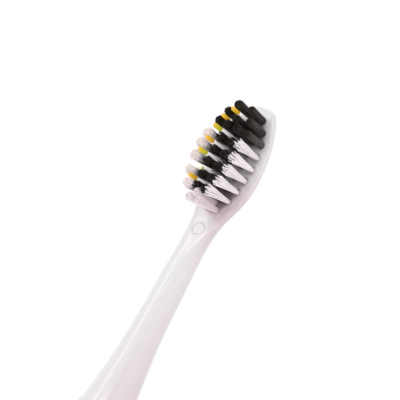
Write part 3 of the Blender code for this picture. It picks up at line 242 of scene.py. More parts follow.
# Rows of tufts, in mm: down, then each tuft's x and kind from the far side to the near side
TUFT_ROWS = (
    (2.90, ((1.00, "tip_short"),)),
    (3.25, ((-1.00, "tip_far"),)),
    (4.55, ((-0.95, "golden"),)),
    (5.30, ((-2.40, "tip_far"), (2.40, "tip_near"))),
    (6.05, ((0.0, "black"),)),
    (6.60, ((-2.25, "golden"),)),
    (7.70, ((-3.35, "tip_far"), (-1.15, "black"), (1.15, "black"), (3.50, "tip_near"))),
    (9.05, ((-2.85, "lime"),)),
    (10.50, ((-1.38, "black"), (1.38, "black"), (4.15, "white"))),
    (10.95, ((-4.10, "clear"),)),
    (11.90, ((-3.20, "golden"),)),
    (13.25, ((-4.35, "clear"), (-1.45, "black"), (1.45, "black"), (4.35, "white"))),
    (14.65, ((-3.35, "lime"),)),
    (16.05, ((-4.30, "clear"), (-1.40, "black"), (1.40, "black"), (4.20, "white"))),
    (17.80, ((-2.85, "thin_lime"),)),
    (18.85, ((-1.25, "black"), (1.25, "black"), (3.75, "white"))),
    (19.05, ((-3.75, "clear"),)),
    (20.25, ((-2.60, "golden"),)),
    (21.40, ((-0.95, "black"), (0.95, "black"), (2.85, "white"))),
    (21.75, ((-2.70, "clear"),)),
    (22.75, ((0.0, "pink"),)),
    (24.10, ((-1.25, "pink"), (1.25, "pink"))),
)
# Every tuft as (x, down, kind) in metres
TUFTS = [(x * MM, down * MM, kind) for down, row in TUFT_ROWS for x, kind in row]
# Each kind, in mm: piece, length, radius at the root and tip, filaments, roundness and
# raggedness of the tip, and the clumps that its filaments gather in
TUFT_KINDS = {
    "tip_short": ("tufts_tip", 6.6, 0.80, 0.86, 58, 0.45, 0.06, 9),
    "tip_far": ("tufts_tip", 8.9, 0.80, 1.20, 76, 0.90, 0.12, 9),
    "tip_near": ("tufts_tip", 7.4, 0.80, 0.88, 58, 0.45, 0.06, 9),
    "black": ("tufts_black", 8.6, 0.74, 1.14, 66, 0.30, 0.45, 14),
    "white": ("tufts_white", 9.2, 0.48, 1.34, 84, 0.10, 0.85, 19),
    "clear": ("tufts_clear", 9.6, 0.74, 1.30, 116, 0.85, 0.24, 14),
    "pink": ("tufts_pink", 8.7, 0.62, 1.15, 72, 0.60, 0.28, 10),
    "golden": ("tufts_golden", 9.6, 0.52, 0.47, 40, 0.0, 0.05, 5),
    "lime": ("tufts_lime", 9.6, 0.58, 0.54, 40, 0.0, 0.05, 5),
    "thin_lime": ("tufts_thin_lime", 10.0, 0.60, 0.50, 36, 0.0, 0.08, 5),
}
TUFT_MARGIN = 0.09              # mm from the middle of an outer filament to the tuft's radius
TIP_WANDER = 0.05               # mm that a tip may stand off its place
CLUMPING = 0.65                 # how far ragged filaments lean to the middle of their clump
BOWING = -0.10                  # bow of a filament, as a share of its spread
GOLDEN_ANGLE = math.pi * (3.0 - math.sqrt(5.0))
FIELD_MIDDLE = 13.4 * MM
LEAN_TIP, LEAN_HEEL = 0.062, 0.035    # lean per metre from the middle of the field
SPREAD_X = 1.04                 # the tips stand this much further apart than the roots
PLATE_Y = -0.20 * MM
ROOT_DEPTH = 0.2 * MM           # under the bottom of the tuft's hole
FILAMENT_RADIUS = 0.082 * MM
FILAMENT_END = 0.55             # share of its radius at the very end
FILAMENT_SIDES = 6
FILAMENT_STEPS = 5
FILAMENT_SEED = 11


def srgb(red, green, blue):
    """A screen colour of 0 to 255 as the linear colour that a shader takes."""
    values = []
    for channel in (red, green, blue):
        c = channel / 255.0
        values.append(c / 12.92 if c <= 0.04045 else ((c + 0.055) / 1.055) ** 2.4)
    return (*values, 1.0)


def make_camera():
    """Looks at the brush head through a long lens. Gives the target and the picture's axes."""
    azimuth, elevation = math.radians(VIEW_AZIMUTH), math.radians(VIEW_ELEVATION)
    towards = Vector((
        math.sin(azimuth) * math.cos(elevation),
        -math.cos(azimuth) * math.cos(elevation),
        math.sin(elevation),
    ))
    right = Vector((math.cos(azimuth), math.sin(azimuth), 0.0))
    up = towards.cross(right)
    target = Vector((0.0, 0.0, TIP_Z)) + right * MIDDLE_RIGHT + up * MIDDLE_UP
    roll = math.radians(VIEW_ROLL)
    rolled_right = right * math.cos(roll) + up * math.sin(roll)
    rolled_up = towards.cross(rolled_right)
    data = bpy.data.cameras.new("camera")
    data.sensor_width = SENSOR
    data.lens = SENSOR * VIEW_DISTANCE / VIEW_WIDTH
    data.clip_start = CLIP_START
    data.clip_end = CLIP_END
    camera = bpy.data.objects.new("camera", data)
    bpy.context.scene.collection.objects.link(camera)
    camera.matrix_world = Matrix.Translation(target + towards * VIEW_DISTANCE) @ Matrix((
        rolled_right, rolled_up, towards,
    )).transposed().to_4x4()
    bpy.context.scene.camera = camera
    return target, rolled_right, rolled_up, towards


def feed(tree, node, inputs):
    """Gives a node's inputs plain values, screen colours or other nodes' outputs."""
    for place, source in inputs.items():
        socket = node.inputs[place]
        if isinstance(source, bpy.types.NodeSocket):
            tree.links.new(source, socket)
        else:
            socket.default_value = srgb(*source) if socket.type == "RGBA" else source


def add_node(tree, kind, inputs, **settings):
    """A new node with its settings and what its inputs take."""
    node = tree.nodes.new(kind)
    for name, value in settings.items():
        setattr(node, name, value)
    feed(tree, node, inputs)
    return node


def background_rays(tree):
    """1 for the rays that show the background: the camera's, a gloss's and clear matter's."""
    path = tree.nodes.new("ShaderNodeLightPath")
    rays = path.outputs["Is Camera Ray"]
    for kind in ("Is Glossy Ray", "Is Transmission Ray"):
        either = add_node(tree, "ShaderNodeMath", {0: rays, 1: path.outputs[kind]}, operation="MAXIMUM")
        rays = either.outputs["Value"]
    return rays


def show_mix(tree, factor, first, second, out):
    """Shows the first surface where the factor is 0 and the second where it is 1."""
    mix = add_node(tree, "ShaderNodeMixShader", {"Fac": factor, 1: first, 2: second})
    tree.links.new(mix.outputs["Shader"], out.inputs["Surface"])


def make_world():
    """Soft light from all round, and plain white where a ray shows the background."""
    world = bpy.data.worlds.new("studio")
    bpy.context.scene.world = world
    world.use_nodes = True
    tree = world.node_tree
    tree.nodes.clear()
    soft = add_node(tree, "ShaderNodeBackground", {"Color": WORLD_COLOUR, "Strength": WORLD_STRENGTH})
    white = add_node(tree, "ShaderNodeBackground", {"Color": (255, 255, 255)})
    out = tree.nodes.new("ShaderNodeOutputWorld")
    show_mix(tree, background_rays(tree), soft.outputs["Background"], white.outputs["Background"], out)


def make_light(target, right, up, towards):
    """The world, and soft rectangular lamps that stand by the picture's own axes."""
    make_world()
    for name, (direction, distance, width, height, power, colour) in LAMPS.items():
        data = bpy.data.lights.new(name, "AREA")
        data.shape = "RECTANGLE"
        data.size = width
        data.size_y = height
        data.energy = power
        data.color = srgb(*colour)[:3]
        lamp = bpy.data.objects.new(name, data)
        bpy.context.scene.collection.objects.link(lamp)
        way = right * direction[0] + up * direction[1] + towards * direction[2]
        lamp.location = target + way.normalized() * distance
        lamp.rotation_euler = (lamp.location - target).to_track_quat("Z", "Y").to_euler()


def new_shader(name, roughness, metallic=0.0):
    """A material with its node tree and its shader node."""
    material = bpy.data.materials.new(name)
    material.use_nodes = True
    tree = material.node_tree
    shader = tree.nodes["Principled BSDF"]
    feed(tree, shader, {"Roughness": roughness, "Metallic": metallic})
    return material, tree, shader


def object_place(tree):
    """Places in the piece's own space."""
    return tree.nodes.new("ShaderNodeTexCoord").outputs["Object"]


def attribute(tree, label):
    """A value that the mesh keeps for each of its points."""
    return add_node(tree, "ShaderNodeAttribute", {}, attribute_name=label).outputs["Fac"]


def add_noise(tree, width, detail, stretch=(1.0, 1.0, 1.0), seed=0.0):
    """Noise whose features are about that many metres wide."""
    mapping = add_node(tree, "ShaderNodeMapping", {
        "Vector": object_place(tree), "Location": (seed, seed, seed),
        "Scale": tuple(s / width for s in stretch),
    })
    noise = {"Vector": mapping.outputs["Vector"], "Scale": 1.0, "Detail": detail}
    return add_node(tree, "ShaderNodeTexNoise", noise).outputs["Fac"]


def map_range(tree, value, from_low, from_high, to_low=0.0, to_high=1.0, kind="LINEAR"):
    """Carries one range of values over to another."""
    return add_node(tree, "ShaderNodeMapRange", {
        "Value": value, "From Min": from_low, "From Max": from_high, "To Min": to_low, "To Max": to_high,
    }, interpolation_type=kind).outputs["Result"]


def spread(tree, noise, low=0.0, high=1.0):
    """Widens a noise's middle range to run from low to high."""
    return map_range(tree, noise, NOISE_LOW, NOISE_HIGH, low, high)


def blend_colours(tree, factor, first, second, kind="MIX"):
    """Mixes two colours. Each of them and the factor is a value or another node's output."""
    mix = add_node(tree, "ShaderNodeMix", {"Factor": factor, FIRST_COLOUR: first, SECOND_COLOUR: second},
                   data_type="RGBA", blend_type=kind)
    return mix.outputs[MIXED_COLOUR]


def bumps(tree, height, depth):
    """A surface that a value raises by up to that depth, in metres."""
    bump = {"Strength": 1.0, "Distance": depth, "Height": height}
    return add_node(tree, "ShaderNodeBump", bump).outputs["Normal"]


def moulded_plastic(name, colour, second, roughness, grain=PEEL_WIDTH, depth=PEEL_DEPTH, coat=0.0,
                    rose=None, painted_shade_colour=None):
    """Moulded plastic: clouds of a second tone, uneven gloss and a faint orange peel.

    Where rose is a colour, the piece's "rose" attribute blends towards it as a painted rosy reflection,
    and where deep is one, its "shade" attribute blends towards it as painted shade.
    """
    material, tree, shader = new_shader(name, roughness)
    tint = blend_colours(tree, spread(tree, add_noise(tree, CLOUD_WIDTH, 1.0)), colour, second)
    # Painted rosy reflection and painted shade, blended in through the piece's attributes
    for label, colour_there in (("rose", rose), ("shade", painted_shade_colour)):
        if colour_there:
            tint = blend_colours(tree, attribute(tree, label), tint, colour_there)
    patches = add_noise(tree, GLOSS_WIDTH, 1.0, seed=3.0)
    feed(tree, shader, {
        "Base Color": tint,
        "Roughness": spread(tree, patches, roughness * 0.9, roughness * 1.12),
        "Normal": bumps(tree, add_noise(tree, grain, 1.0, seed=7.0), depth),
        "Coat Weight": coat,
        "Coat Roughness": COAT_ROUGHNESS,
    })
    return material


def turned_metal(name, colour, second, roughness):
    """Metal with fine tool marks round its axis and uneven polish."""
    material, tree, shader = new_shader(name, roughness, 1.0)
    clouds = spread(tree, add_noise(tree, METAL_CLOUD_WIDTH, 3.0))
    marks = add_noise(tree, TOOL_MARK_WIDTH, 4.0, TOOL_MARK_STRETCH, 2.0)
    feed(tree, shader, {
        "Base Color": blend_colours(tree, clouds, colour, second),
        "Roughness": spread(tree, marks, roughness * 0.8, roughness * 1.3),
        "Normal": bumps(tree, marks, TOOL_MARK_DEPTH),
    })
    return material


def wound_wire(name, colour, second):
    """Lacquered wire in turns across the winding's height."""
    material, tree, shader = new_shader(name, 0.35, 1.0)
    turns = add_node(tree, "ShaderNodeTexWave", {
        "Vector": object_place(tree), "Scale": 1.0 / WIRE_WIDTH, "Distortion": 0.6,
    }, bands_direction="Z").outputs["Fac"]
    feed(tree, shader, {
        "Base Color": blend_colours(tree, turns, colour, second),
        "Normal": bumps(tree, turns, WIRE_DEPTH),
    })
    return material


def printed_board(name, lacquer, track):
    """Lacquer over copper tracks."""
    material, tree, shader = new_shader(name, 0.4)
    cells = add_node(tree, "ShaderNodeTexVoronoi", {
        "Vector": object_place(tree), "Scale": 1.0 / TRACK_WIDTH,
    }, distance="MANHATTAN")
    tracks = map_range(tree, cells.outputs["Distance"], TRACK_START, TRACK_END)
    feed(tree, shader, {"Base Color": blend_colours(tree, tracks, track, lacquer)})
    return material


def filament_material(name, stops, roughness=0.38, painted_glow=0.0, sheen=0.0, tone_depth=0.08):
    """Nylon filaments. stops are (share of the length, screen colour) from 0 to 1, the tip.

    guide sets an emission, a painted glow that stands in for the light which clear nylon carries down from
    its tips.
    """
    material, tree, shader = new_shader(name, roughness)
    ramp = add_node(tree, "ShaderNodeValToRGB", {"Fac": attribute(tree, "along")})
    for position, _ in stops[1:-1]:
        ramp.color_ramp.elements.new(position)
    for element, (_, colour) in zip(ramp.color_ramp.elements, stops):
        element.color = srgb(*colour)
    tone = map_range(tree, attribute(tree, "tone"), 0.0, 1.0, 1.0 - tone_depth, 1.0 + tone_depth)
    patches = add_noise(tree, NYLON_WIDTH, 2.0, NYLON_STRETCH)
    feed(tree, shader, {
        "Base Color": blend_colours(tree, 1.0, ramp.outputs["Color"], tone, "MULTIPLY"),
        "Roughness": spread(tree, patches, roughness * 0.8, roughness * 1.2),
        # painted glow
        "Emission Strength": painted_glow,
        "Sheen Weight": sheen,
        "Sheen Roughness": 0.5,
    })
    if painted_glow:
        feed(tree, shader, {"Emission Color": ramp.outputs["Color"]})
    return material


def add_mesh(name, vertices, faces):
    """A new object with that mesh."""
    mesh = bpy.data.meshes.new(name)
    mesh.from_pydata(vertices, [], faces)
    item = bpy.data.objects.new(name, mesh)
    bpy.context.scene.collection.objects.link(item)
    return item


def make_piece(name, vertices, faces, material, body, replaced=(), sharp_angle=SHARP_ANGLE):
    """A smooth-shaded piece that rides on a body and stands in for nodes of the model."""
    piece = add_mesh(name, vertices, faces)
    mesh = piece.data
    mesh.validate()
    mesh.shade_smooth()
    mesh.set_sharp_from_angle(angle=math.radians(sharp_angle))
    mesh.materials.append(material)
    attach(piece, body)
    if replaced:
        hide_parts(*replaced)
    return piece


def set_attributes(piece, **values):
    """Keeps a value for each point of the piece under each label."""
    for label, numbers in values.items():
        piece.data.attributes.new(label, "FLOAT", "POINT").data.foreach_set("value", numbers)


def circle(radius, sides):
    """Points round a circle."""
    angles = [2 * math.pi * i / sides for i in range(sides)]
    return [(radius * math.cos(angle), radius * math.sin(angle)) for angle in angles]


def skin_faces(rings):
    """Faces of a closed body through rings of points: its two ends, then the walls between."""
    faces = [rings[0][::-1], rings[-1]]
    for ring, after in zip(rings, rings[1:]):
        for i in range(len(ring)):
            j = (i + 1) % len(ring)
            faces.append((ring[i], ring[j], after[j], after[i]))
    return faces


def curve_at(stations, position):
    """Catmull-Rom values at a position among stations whose first number rises."""
    last = len(stations) - 2
    index = 0
    while index < last and position > stations[index + 1][0]:
        index += 1
    before = stations[max(index - 1, 0)]
    start, end = stations[index], stations[index + 1]
    after = stations[min(index + 2, len(stations) - 1)]
    span = end[0] - start[0]
    t = (position - start[0]) / span
    values = []
    for k in range(1, len(start)):
        slope_start = (end[k] - before[k]) / (end[0] - before[0])
        slope_end = (after[k] - start[k]) / (after[0] - start[0])
        values.append(
            (2 * t ** 3 - 3 * t ** 2 + 1) * start[k] + (t ** 3 - 2 * t ** 2 + t) * span * slope_start
            + (3 * t ** 2 - 2 * t ** 3) * end[k] + (t ** 3 - t ** 2) * span * slope_end
        )
    return values


def limited(value):
    """The value, kept between 0 and 1."""
    return min(1.0, max(0.0, value))


def painted_field_shade(x, down):
    """How much painted shade a point of the plate takes among the tufts, from 0 in the open to 1."""
    total = 0.0
    for tuft_x, tuft_down, _ in TUFTS:
        reach = math.hypot(x - tuft_x, down - tuft_down) / SHADE_REACH
        if reach < SHADE_CUTOFF:
            total += math.exp(-reach * reach)
    shade = limited((total - SHADE_STARTS) / SHADE_FULL)
    heel = limited((down - HEEL_START) / (HEEL_END - HEEL_START))
    return shade * (1.0 - (1.0 - HEEL_SHADE) * heel)


def painted_rosy_reflection(side, down):
    """How much painted rosy reflection the moulding takes. side runs from -1 at the far edge to 1 at the
    near edge.
    """
    amount, starts, full = curve_at(PAINTED_ROSE_STATIONS, down)
    return amount * limited((side - starts) / (full - starts))


def hole_dip(x, down):
    """How far the plate sinks at a point, for the rounded mouths of the tuft holes."""
    dip = 0.0
    for tuft_x, tuft_down, _ in TUFTS:
        reach = math.hypot(x - tuft_x, down - tuft_down) / HOLE_RADIUS
        if reach < 1.0:
            dip = max(dip, (1.0 - reach ** 6) ** 2)
    return dip * HOLE_DEPTH


def mould_mark(x, down):
    """A shallow ring where the mould's ejector pin stood."""
    ring = (math.hypot(x, down - MARK_DOWN) - MARK_RADIUS) / MARK_LINE
    inside = 0.5 - 0.5 * math.tanh(2.0 * ring)
    return MARK_DEPTH * (math.exp(-ring * ring) + MARK_SINK * inside)


def head_section(half_width, front, back):
    """Points round one section: along the plate side from +X to -X, then round the back."""
    roundness = limited(-front / half_width)
    widest = front + (back - front) * (PLATE_WIDEST + (NECK_WIDEST - PLATE_WIDEST) * roundness)
    front_power = 2.0 + PLATE_POWER * (1.0 - roundness) ** 2
    back_power = 2.0 + BACK_POWER * (1.0 - roundness)
    points = []
    for i in range(FRONT_STEPS):
        crowded = math.cos(math.pi * i / FRONT_STEPS)
        even = 1.0 - 2.0 * i / FRONT_STEPS
        x = EDGE_CROWDING * crowded + (1.0 - EDGE_CROWDING) * even
        height = max(0.0, 1.0 - abs(x) ** front_power) ** (1 / front_power)
        points.append((half_width * x, widest - (widest - front) * height, True))
    for i in range(BACK_STEPS):
        angle = math.pi * i / BACK_STEPS
        x = -math.copysign(abs(math.cos(angle)) ** (2 / back_power), math.cos(angle))
        y = widest + (back - widest) * math.sin(angle) ** (2 / back_power)
        points.append((half_width * x, y, False))
    return points


def section_downs():
    """Where the head's sections stand, closest together at the tip and among the tufts."""
    downs = []
    down, end = 0.0, HEAD_STATIONS[-1][0]
    while down < end:
        downs.append(down)
        if down < TIP_END:
            down += TIP_STEP
        elif down < PLATE_END:
            down += PLATE_STEP
        else:
            down += NECK_STEP
    return downs + [end]


def hollow_outline():
    """(radius, height) from the head's skirt round its foot and up the hollow inside."""
    low, high = (corner.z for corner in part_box("shaft_socket"))
    inner = HOLLOW_RADIUS - HOLLOW_WALL
    return (
        (HOLLOW_RADIUS, TIP_Z - HEAD_STATIONS[-1][0]), (HOLLOW_RADIUS, FOOT_Z), (inner, FOOT_Z),
        (inner, low - 2 * GAP), (SEAT_RADIUS, low), (SEAT_RADIUS, low + SEAT_HEIGHT),
        (SOCKET_BORE, low + SEAT_HEIGHT), (SOCKET_BORE, high + GAP), (BORE_END, high + GAP),
    )


def build_head(material):
    """The moulded head: plate with tuft holes, ramp, neck and flared foot with its hollow."""
    vertices, rings, painted_shades, painted_rose_amounts = [], [], [], []
    for down in section_downs():
        half_width, front, back = curve_at(HEAD_STATIONS, down)
        ring = []
        for x, y, is_front in head_section(half_width, front, back):
            among_tufts = is_front and down < FIELD_END
            # Painted shade among the tufts, one value for each point
            painted_shades.append(painted_field_shade(x, down) if among_tufts else 0.0)
            # Painted rosy reflection, one value for each point
            painted_rose_amounts.append(painted_rosy_reflection(x / half_width, down))
            if among_tufts:
                y += hole_dip(x, down)
            if is_front and abs(down - MARK_DOWN) < 2 * MARK_RADIUS:
                y += mould_mark(x, down)
            ring.append(len(vertices))
            vertices.append((x, y, TIP_Z - down))
        rings.append(ring)
    angles = [math.atan2(vertices[i][1], vertices[i][0]) for i in rings[-1]]
    for radius, height in hollow_outline():
        rings.append([len(vertices) + i for i in range(len(angles))])
        vertices += [(radius * math.cos(angle), radius * math.sin(angle), height) for angle in angles]
        painted_shades += [0.0] * len(angles)
        painted_rose_amounts += [0.0] * len(angles)
    faces = [face[::-1] for face in skin_faces(rings)]
    piece = make_piece("head_moulding", vertices, faces, material, "brush_head",
                       ("brush_head_shell",), HEAD_SHARP_ANGLE)
    set_attributes(piece, shade=painted_shades, rose=painted_rose_amounts)


def lean(down):
    """How far along the head a tuft's tip lies from its root, away from the middle."""
    return (down - FIELD_MIDDLE) * (LEAN_TIP if down < FIELD_MIDDLE else LEAN_HEEL)


def add_filament(vertices, faces, along, tones, root, tip, bow, tone):
    """One end-rounded filament from root to tip, bowed by bow at its middle."""
    axis = (tip - root).normalized()
    side = axis.cross(Vector((0.0, 0.0, 1.0))).normalized()
    other = axis.cross(side)
    rings = []
    stations = [i / FILAMENT_STEPS for i in range(FILAMENT_STEPS)]
    stations += [1.0 - FILAMENT_RADIUS / (tip - root).length, 1.0]
    for t in stations:
        centre = root.lerp(tip, t) + bow * (4.0 * t * (1.0 - t))
        width = FILAMENT_RADIUS * (FILAMENT_END if t == 1.0 else 1.0)
        rings.append([len(vertices) + i for i in range(FILAMENT_SIDES)])
        for x, y in circle(width, FILAMENT_SIDES):
            vertices.append(centre + side * x + other * y)
            along.append(t)
            tones.append(tone)
    faces += skin_faces(rings)


def clump_places(rng, clumps, radius):
    """Middles of a tuft tip's clumps: across, along the head, how far each stands out, tone."""
    places = []
    turn = rng.uniform(0.0, 2.0 * math.pi)
    for i in range(clumps):
        share = math.sqrt((i + 0.5) / clumps)
        angle = turn + i * GOLDEN_ANGLE
        places.append((share * radius * math.cos(angle), share * radius * math.sin(angle),
                       rng.uniform(-1.0, 1.0), rng.random()))
    return places


def add_tuft(store, rng, x, down, kind):
    """All filaments of a tuft, in mm about the middles of its root and its tip."""
    _, length, root_radius, tip_radius, count, roundness, ragged, clumps = TUFT_KINDS[kind]
    foot = Vector((x, PLATE_Y + HOLE_DEPTH + ROOT_DEPTH, TIP_Z - down))
    head = Vector((x * SPREAD_X, PLATE_Y - length * MM, TIP_Z - down - lean(down)))
    turn = rng.uniform(0.0, 2.0 * math.pi)
    middles = clump_places(rng, clumps, tip_radius)
    clump_radius = tip_radius / math.sqrt(clumps)
    for i in range(count):
        share = math.sqrt((i + 0.5) / count)
        angle = turn + i * GOLDEN_ANGLE
        way = Vector((math.cos(angle), 0.0, math.sin(angle)))
        low = foot + way * (share * (root_radius - TUFT_MARGIN) * MM)
        reach = share * (tip_radius - TUFT_MARGIN) + rng.uniform(-TIP_WANDER, TIP_WANDER)
        across, along_head = reach * way.x, reach * way.z
        middle = min(middles, key=lambda m: math.hypot(m[0] - across, m[1] - along_head))
        off = math.hypot(middle[0] - across, middle[1] - along_head) / clump_radius
        across += (middle[0] - across) * CLUMPING * ragged
        along_head += (middle[1] - along_head) * CLUMPING * ragged
        stand = 0.55 * middle[2] + 0.45 * rng.uniform(-1.0, 1.0) - 0.4 * off
        cut_back = roundness * share ** 3 - ragged * stand
        high = head + Vector((across, cut_back, along_head)) * MM
        bow = way * (BOWING * (reach - share * root_radius) * MM)
        add_filament(*store, low, high, bow, 0.8 * middle[3] + 0.2 * rng.random())


def build_tufts(materials):
    """All filaments, in one piece for each kind of tuft."""
    rng = random.Random(FILAMENT_SEED)
    parts = {}
    for x, down, kind in TUFTS:
        store = parts.setdefault(TUFT_KINDS[kind][0], ([], [], [], []))
        add_tuft(store, rng, x, down, kind)
    for name, (vertices, faces, along, tones) in parts.items():
        piece = make_piece(name, vertices, faces, materials[name], "brush_head")
        set_attributes(piece, along=along, tone=tones)
    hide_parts("bristle_plate_tip")
    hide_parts("bristle_plate_main")


def make_slot_materials():
    """The finish of every material slot, in screen colours."""
    white, blush = (234, 232, 233), (233, 226, 229)
    materials = {
        "handle_plastic": moulded_plastic("handle_finish", white, blush, 0.24, coat=1.0),
        # The head's finish carries a painted rosy reflection and painted shade among the tufts
        "head_plastic": moulded_plastic("head_finish", (230, 230, 230), (229, 226, 227), 0.24, coat=1.0,
                                        rose=(218, 203, 207), painted_shade_colour=(98, 82, 88)),
        "button_plastic": moulded_plastic("button_finish", (226, 218, 221), blush, 0.45,
                                          0.2 * MM, 0.004 * MM),
        "rubber": moulded_plastic("rubber_finish", (96, 96, 98), (84, 84, 87), 0.75, 0.15 * MM, 0.01 * MM),
        "lamp_lens": moulded_plastic("lens_finish", (240, 240, 236), (232, 234, 232), 0.12),
        "black_filament": moulded_plastic("black_slice_finish", (38, 34, 33), (30, 27, 26), 0.4),
        "white_filament": moulded_plastic("white_slice_finish", white, blush, 0.35),
        "board": printed_board("board_finish", (14, 62, 36), (20, 92, 52)),
        "copper_wire": wound_wire("wire_finish", (196, 120, 78), (128, 66, 38)),
    }
    plastics = (
        ("cap_plastic", white, blush, 0.3),
        ("bezel_plastic", (196, 192, 194), (190, 186, 189), 0.3),
        ("ring_plastic", (228, 205, 212), (222, 198, 206), 0.28),
        ("insert_plastic", (205, 204, 202), (197, 196, 194), 0.4),
        ("frame_plastic", (140, 142, 147), (130, 132, 138), 0.5),
        ("chip", (34, 34, 36), (27, 27, 29), 0.45),
        ("lamp", (242, 240, 222), (233, 231, 214), 0.2),
        ("cell_wrap", (74, 132, 110), (66, 120, 100), 0.3),
    )
    metals = (
        ("nickel", (198, 194, 184), (188, 184, 174), 0.3),
        ("steel", (184, 186, 190), (172, 174, 179), 0.35),
        ("spring_steel", (196, 196, 194), (184, 184, 182), 0.25),
        ("shaft_steel", (204, 206, 209), (192, 194, 198), 0.18),
        ("bronze", (176, 138, 94), (162, 124, 82), 0.4),
        ("magnet", (150, 150, 154), (138, 138, 143), 0.3),
    )
    for make, rows in ((moulded_plastic, plastics), (turned_metal, metals)):
        for slot, *look in rows:
            materials[slot] = make(slot.split("_")[0] + "_finish", *look)
    return materials


def make_tuft_materials():
    """The nylon of every piece of tufts."""
    root_white, far_white = (238, 228, 233), (254, 253, 250)
    golden, lime = (212, 168, 44), (196, 192, 56)
    # The strip tufts' bodies darken towards their roots: painted shade from the tufts round them
    far_body_painted_shade = (
        (0.0, (120, 118, 121)), (0.12, (158, 154, 157)), (0.30, (205, 203, 204)), (0.55, (240, 239, 239)),
    )
    stops = {
        # The dark tufts end in a lighter brownish tone at their tips: a painted highlight
        "tip": ((0.0, (74, 65, 62)), (0.6, (56, 48, 45)), (0.85, (40, 34, 30)), (1.0, (48, 40, 26))),
        "black": ((0.0, (62, 55, 54)), (0.6, (42, 36, 34)), (1.0, (50, 43, 38))),
        "white": ((0.0, root_white), (0.3, (252, 246, 249)), (1.0, (254, 250, 252))),
        "clear": ((0.0, root_white), (0.45, (92, 84, 88)), (0.62, (78, 70, 74)), (0.80, (196, 186, 196)),
                  (0.90, (240, 231, 240)), (1.0, (244, 238, 234))),
        "pink": ((0.0, (226, 210, 216)), (0.5, (238, 226, 231)), (1.0, (246, 238, 240))),
        "golden": far_body_painted_shade + ((0.715, far_white), (0.73, golden), (0.88, golden), (1.0, (211, 174, 50))),
        "lime": far_body_painted_shade + ((0.715, far_white), (0.73, lime), (0.87, lime), (1.0, (207, 178, 52))),
        "thin_lime": far_body_painted_shade + ((0.62, far_white), (0.64, lime), (0.69, lime), (0.71, (254, 252, 232)),
                                 (1.0, (255, 254, 246))),
    }
    # Painted glow: the strip tufts glow strongly to light their bodies between the black tufts, and the
    # white, clear and pink ones glow faintly
    strip = {"painted_glow": 0.42}
    looks = {
        "tip": {"roughness": 0.36, "tone_depth": 0.9},
        "black": {"roughness": 0.34, "tone_depth": 0.9},
        "white": {"painted_glow": 0.04, "sheen": 0.3},
        "clear": {"painted_glow": 0.10, "sheen": 0.2},
        "pink": {"painted_glow": 0.08, "sheen": 0.3, "tone_depth": 0.14},
        "golden": strip,
        "lime": strip,
        "thin_lime": strip,
    }
    return {
        "tufts_" + kind: filament_material(kind + "_filament", stops[kind], **look)
        for kind, look in looks.items()
    }


def rounded(outline):
    """A closed outline of (radius, height) corners; a third value rounds one, in mm."""
    points = []
    for i, corner in enumerate(outline):
        if len(corner) == 2:
            points.append(corner)
            continue
        here = Vector(corner[:2])
        before = Vector(outline[i - 1][:2]) - here
        after = Vector(outline[(i + 1) % len(outline)][:2]) - here
        reach = min(corner[2] * MM, 0.45 * before.length, 0.45 * after.length)
        start, end = here + before.normalized() * reach, here + after.normalized() * reach
        for step in range(EDGE_STEPS + 1):
            t = step / EDGE_STEPS
            points.append(tuple(start * (1 - t) ** 2 + here * (2 * t * (1 - t)) + end * t ** 2))
    return points


def turned_mesh(outline, sides):
    """Vertices and faces of a closed outline turned about the vertical axis.

    A ring on the axis is one point, so the faces beside it have three corners.
    """
    vertices, faces, rings = [], [], []
    for radius, height in outline:
        steps = sides if radius > 0.0 else 1
        rings.append([len(vertices) + i for i in range(steps)])
        vertices += [Vector((x, y, height)) for x, y in circle(radius, steps)]
    for ring, after in zip(rings, rings[1:] + rings[:1]):
        if len(ring) == 1 and len(after) == 1:
            continue
        for i in range(sides):
            places = ((ring, i), (ring, i + 1), (after, i + 1), (after, i))
            faces.append(tuple(dict.fromkeys(points[place % len(points)] for points, place in places)))
    return vertices, faces


def turned_piece(name, outline, material, body, node):
    """A turned piece that stands in for one node of the model."""
    vertices, faces = turned_mesh(rounded(outline), TURNED_SIDES)
    return make_piece(name, vertices, faces, material, body, (node,))


def shape_with(piece, helpers, operation):
    """Cuts helper solids out of a piece or joins them to it, and leaves plain mesh."""
    for helper in helpers:
        modifier = piece.modifiers.new(helper.name, "BOOLEAN")
        modifier.object = helper
        modifier.operation = operation
    bpy.context.view_layer.update()
    evaluated = piece.evaluated_get(bpy.context.evaluated_depsgraph_get())
    mesh = bpy.data.meshes.new_from_object(evaluated)
    piece.modifiers.clear()
    piece.data = mesh
    mesh.set_sharp_from_angle(angle=math.radians(CUT_SHARP_ANGLE))
    for helper in helpers:
        bpy.data.objects.remove(helper, do_unlink=True)


def prism(outline, near_y, far_y):
    """A solid between two depths with an outline of (x, z)."""
    count = len(outline)
    vertices = [Vector((x, near_y, z)) for x, z in outline] + [Vector((x, far_y, z)) for x, z in outline]
    faces = [tuple(range(count)), tuple(range(2 * count - 1, count - 1, -1))]
    faces += [(i, i + count, (i + 1) % count + count, (i + 1) % count) for i in range(count)]
    return vertices, faces


def block_outline(half_width, low, high):
    """An upright outline with square corners, from one height to another."""
    return [(-half_width, low), (half_width, low), (half_width, high), (-half_width, high)]


def slot_outline(half_width, low, high, steps=16):
    """An upright outline with round ends."""
    points = []
    for z, turn in ((high - half_width, 0.0), (low + half_width, math.pi)):
        for i in range(steps + 1):
            angle = turn + math.pi * i / steps
            points.append((half_width * math.cos(angle), z + half_width * math.sin(angle)))
    return points


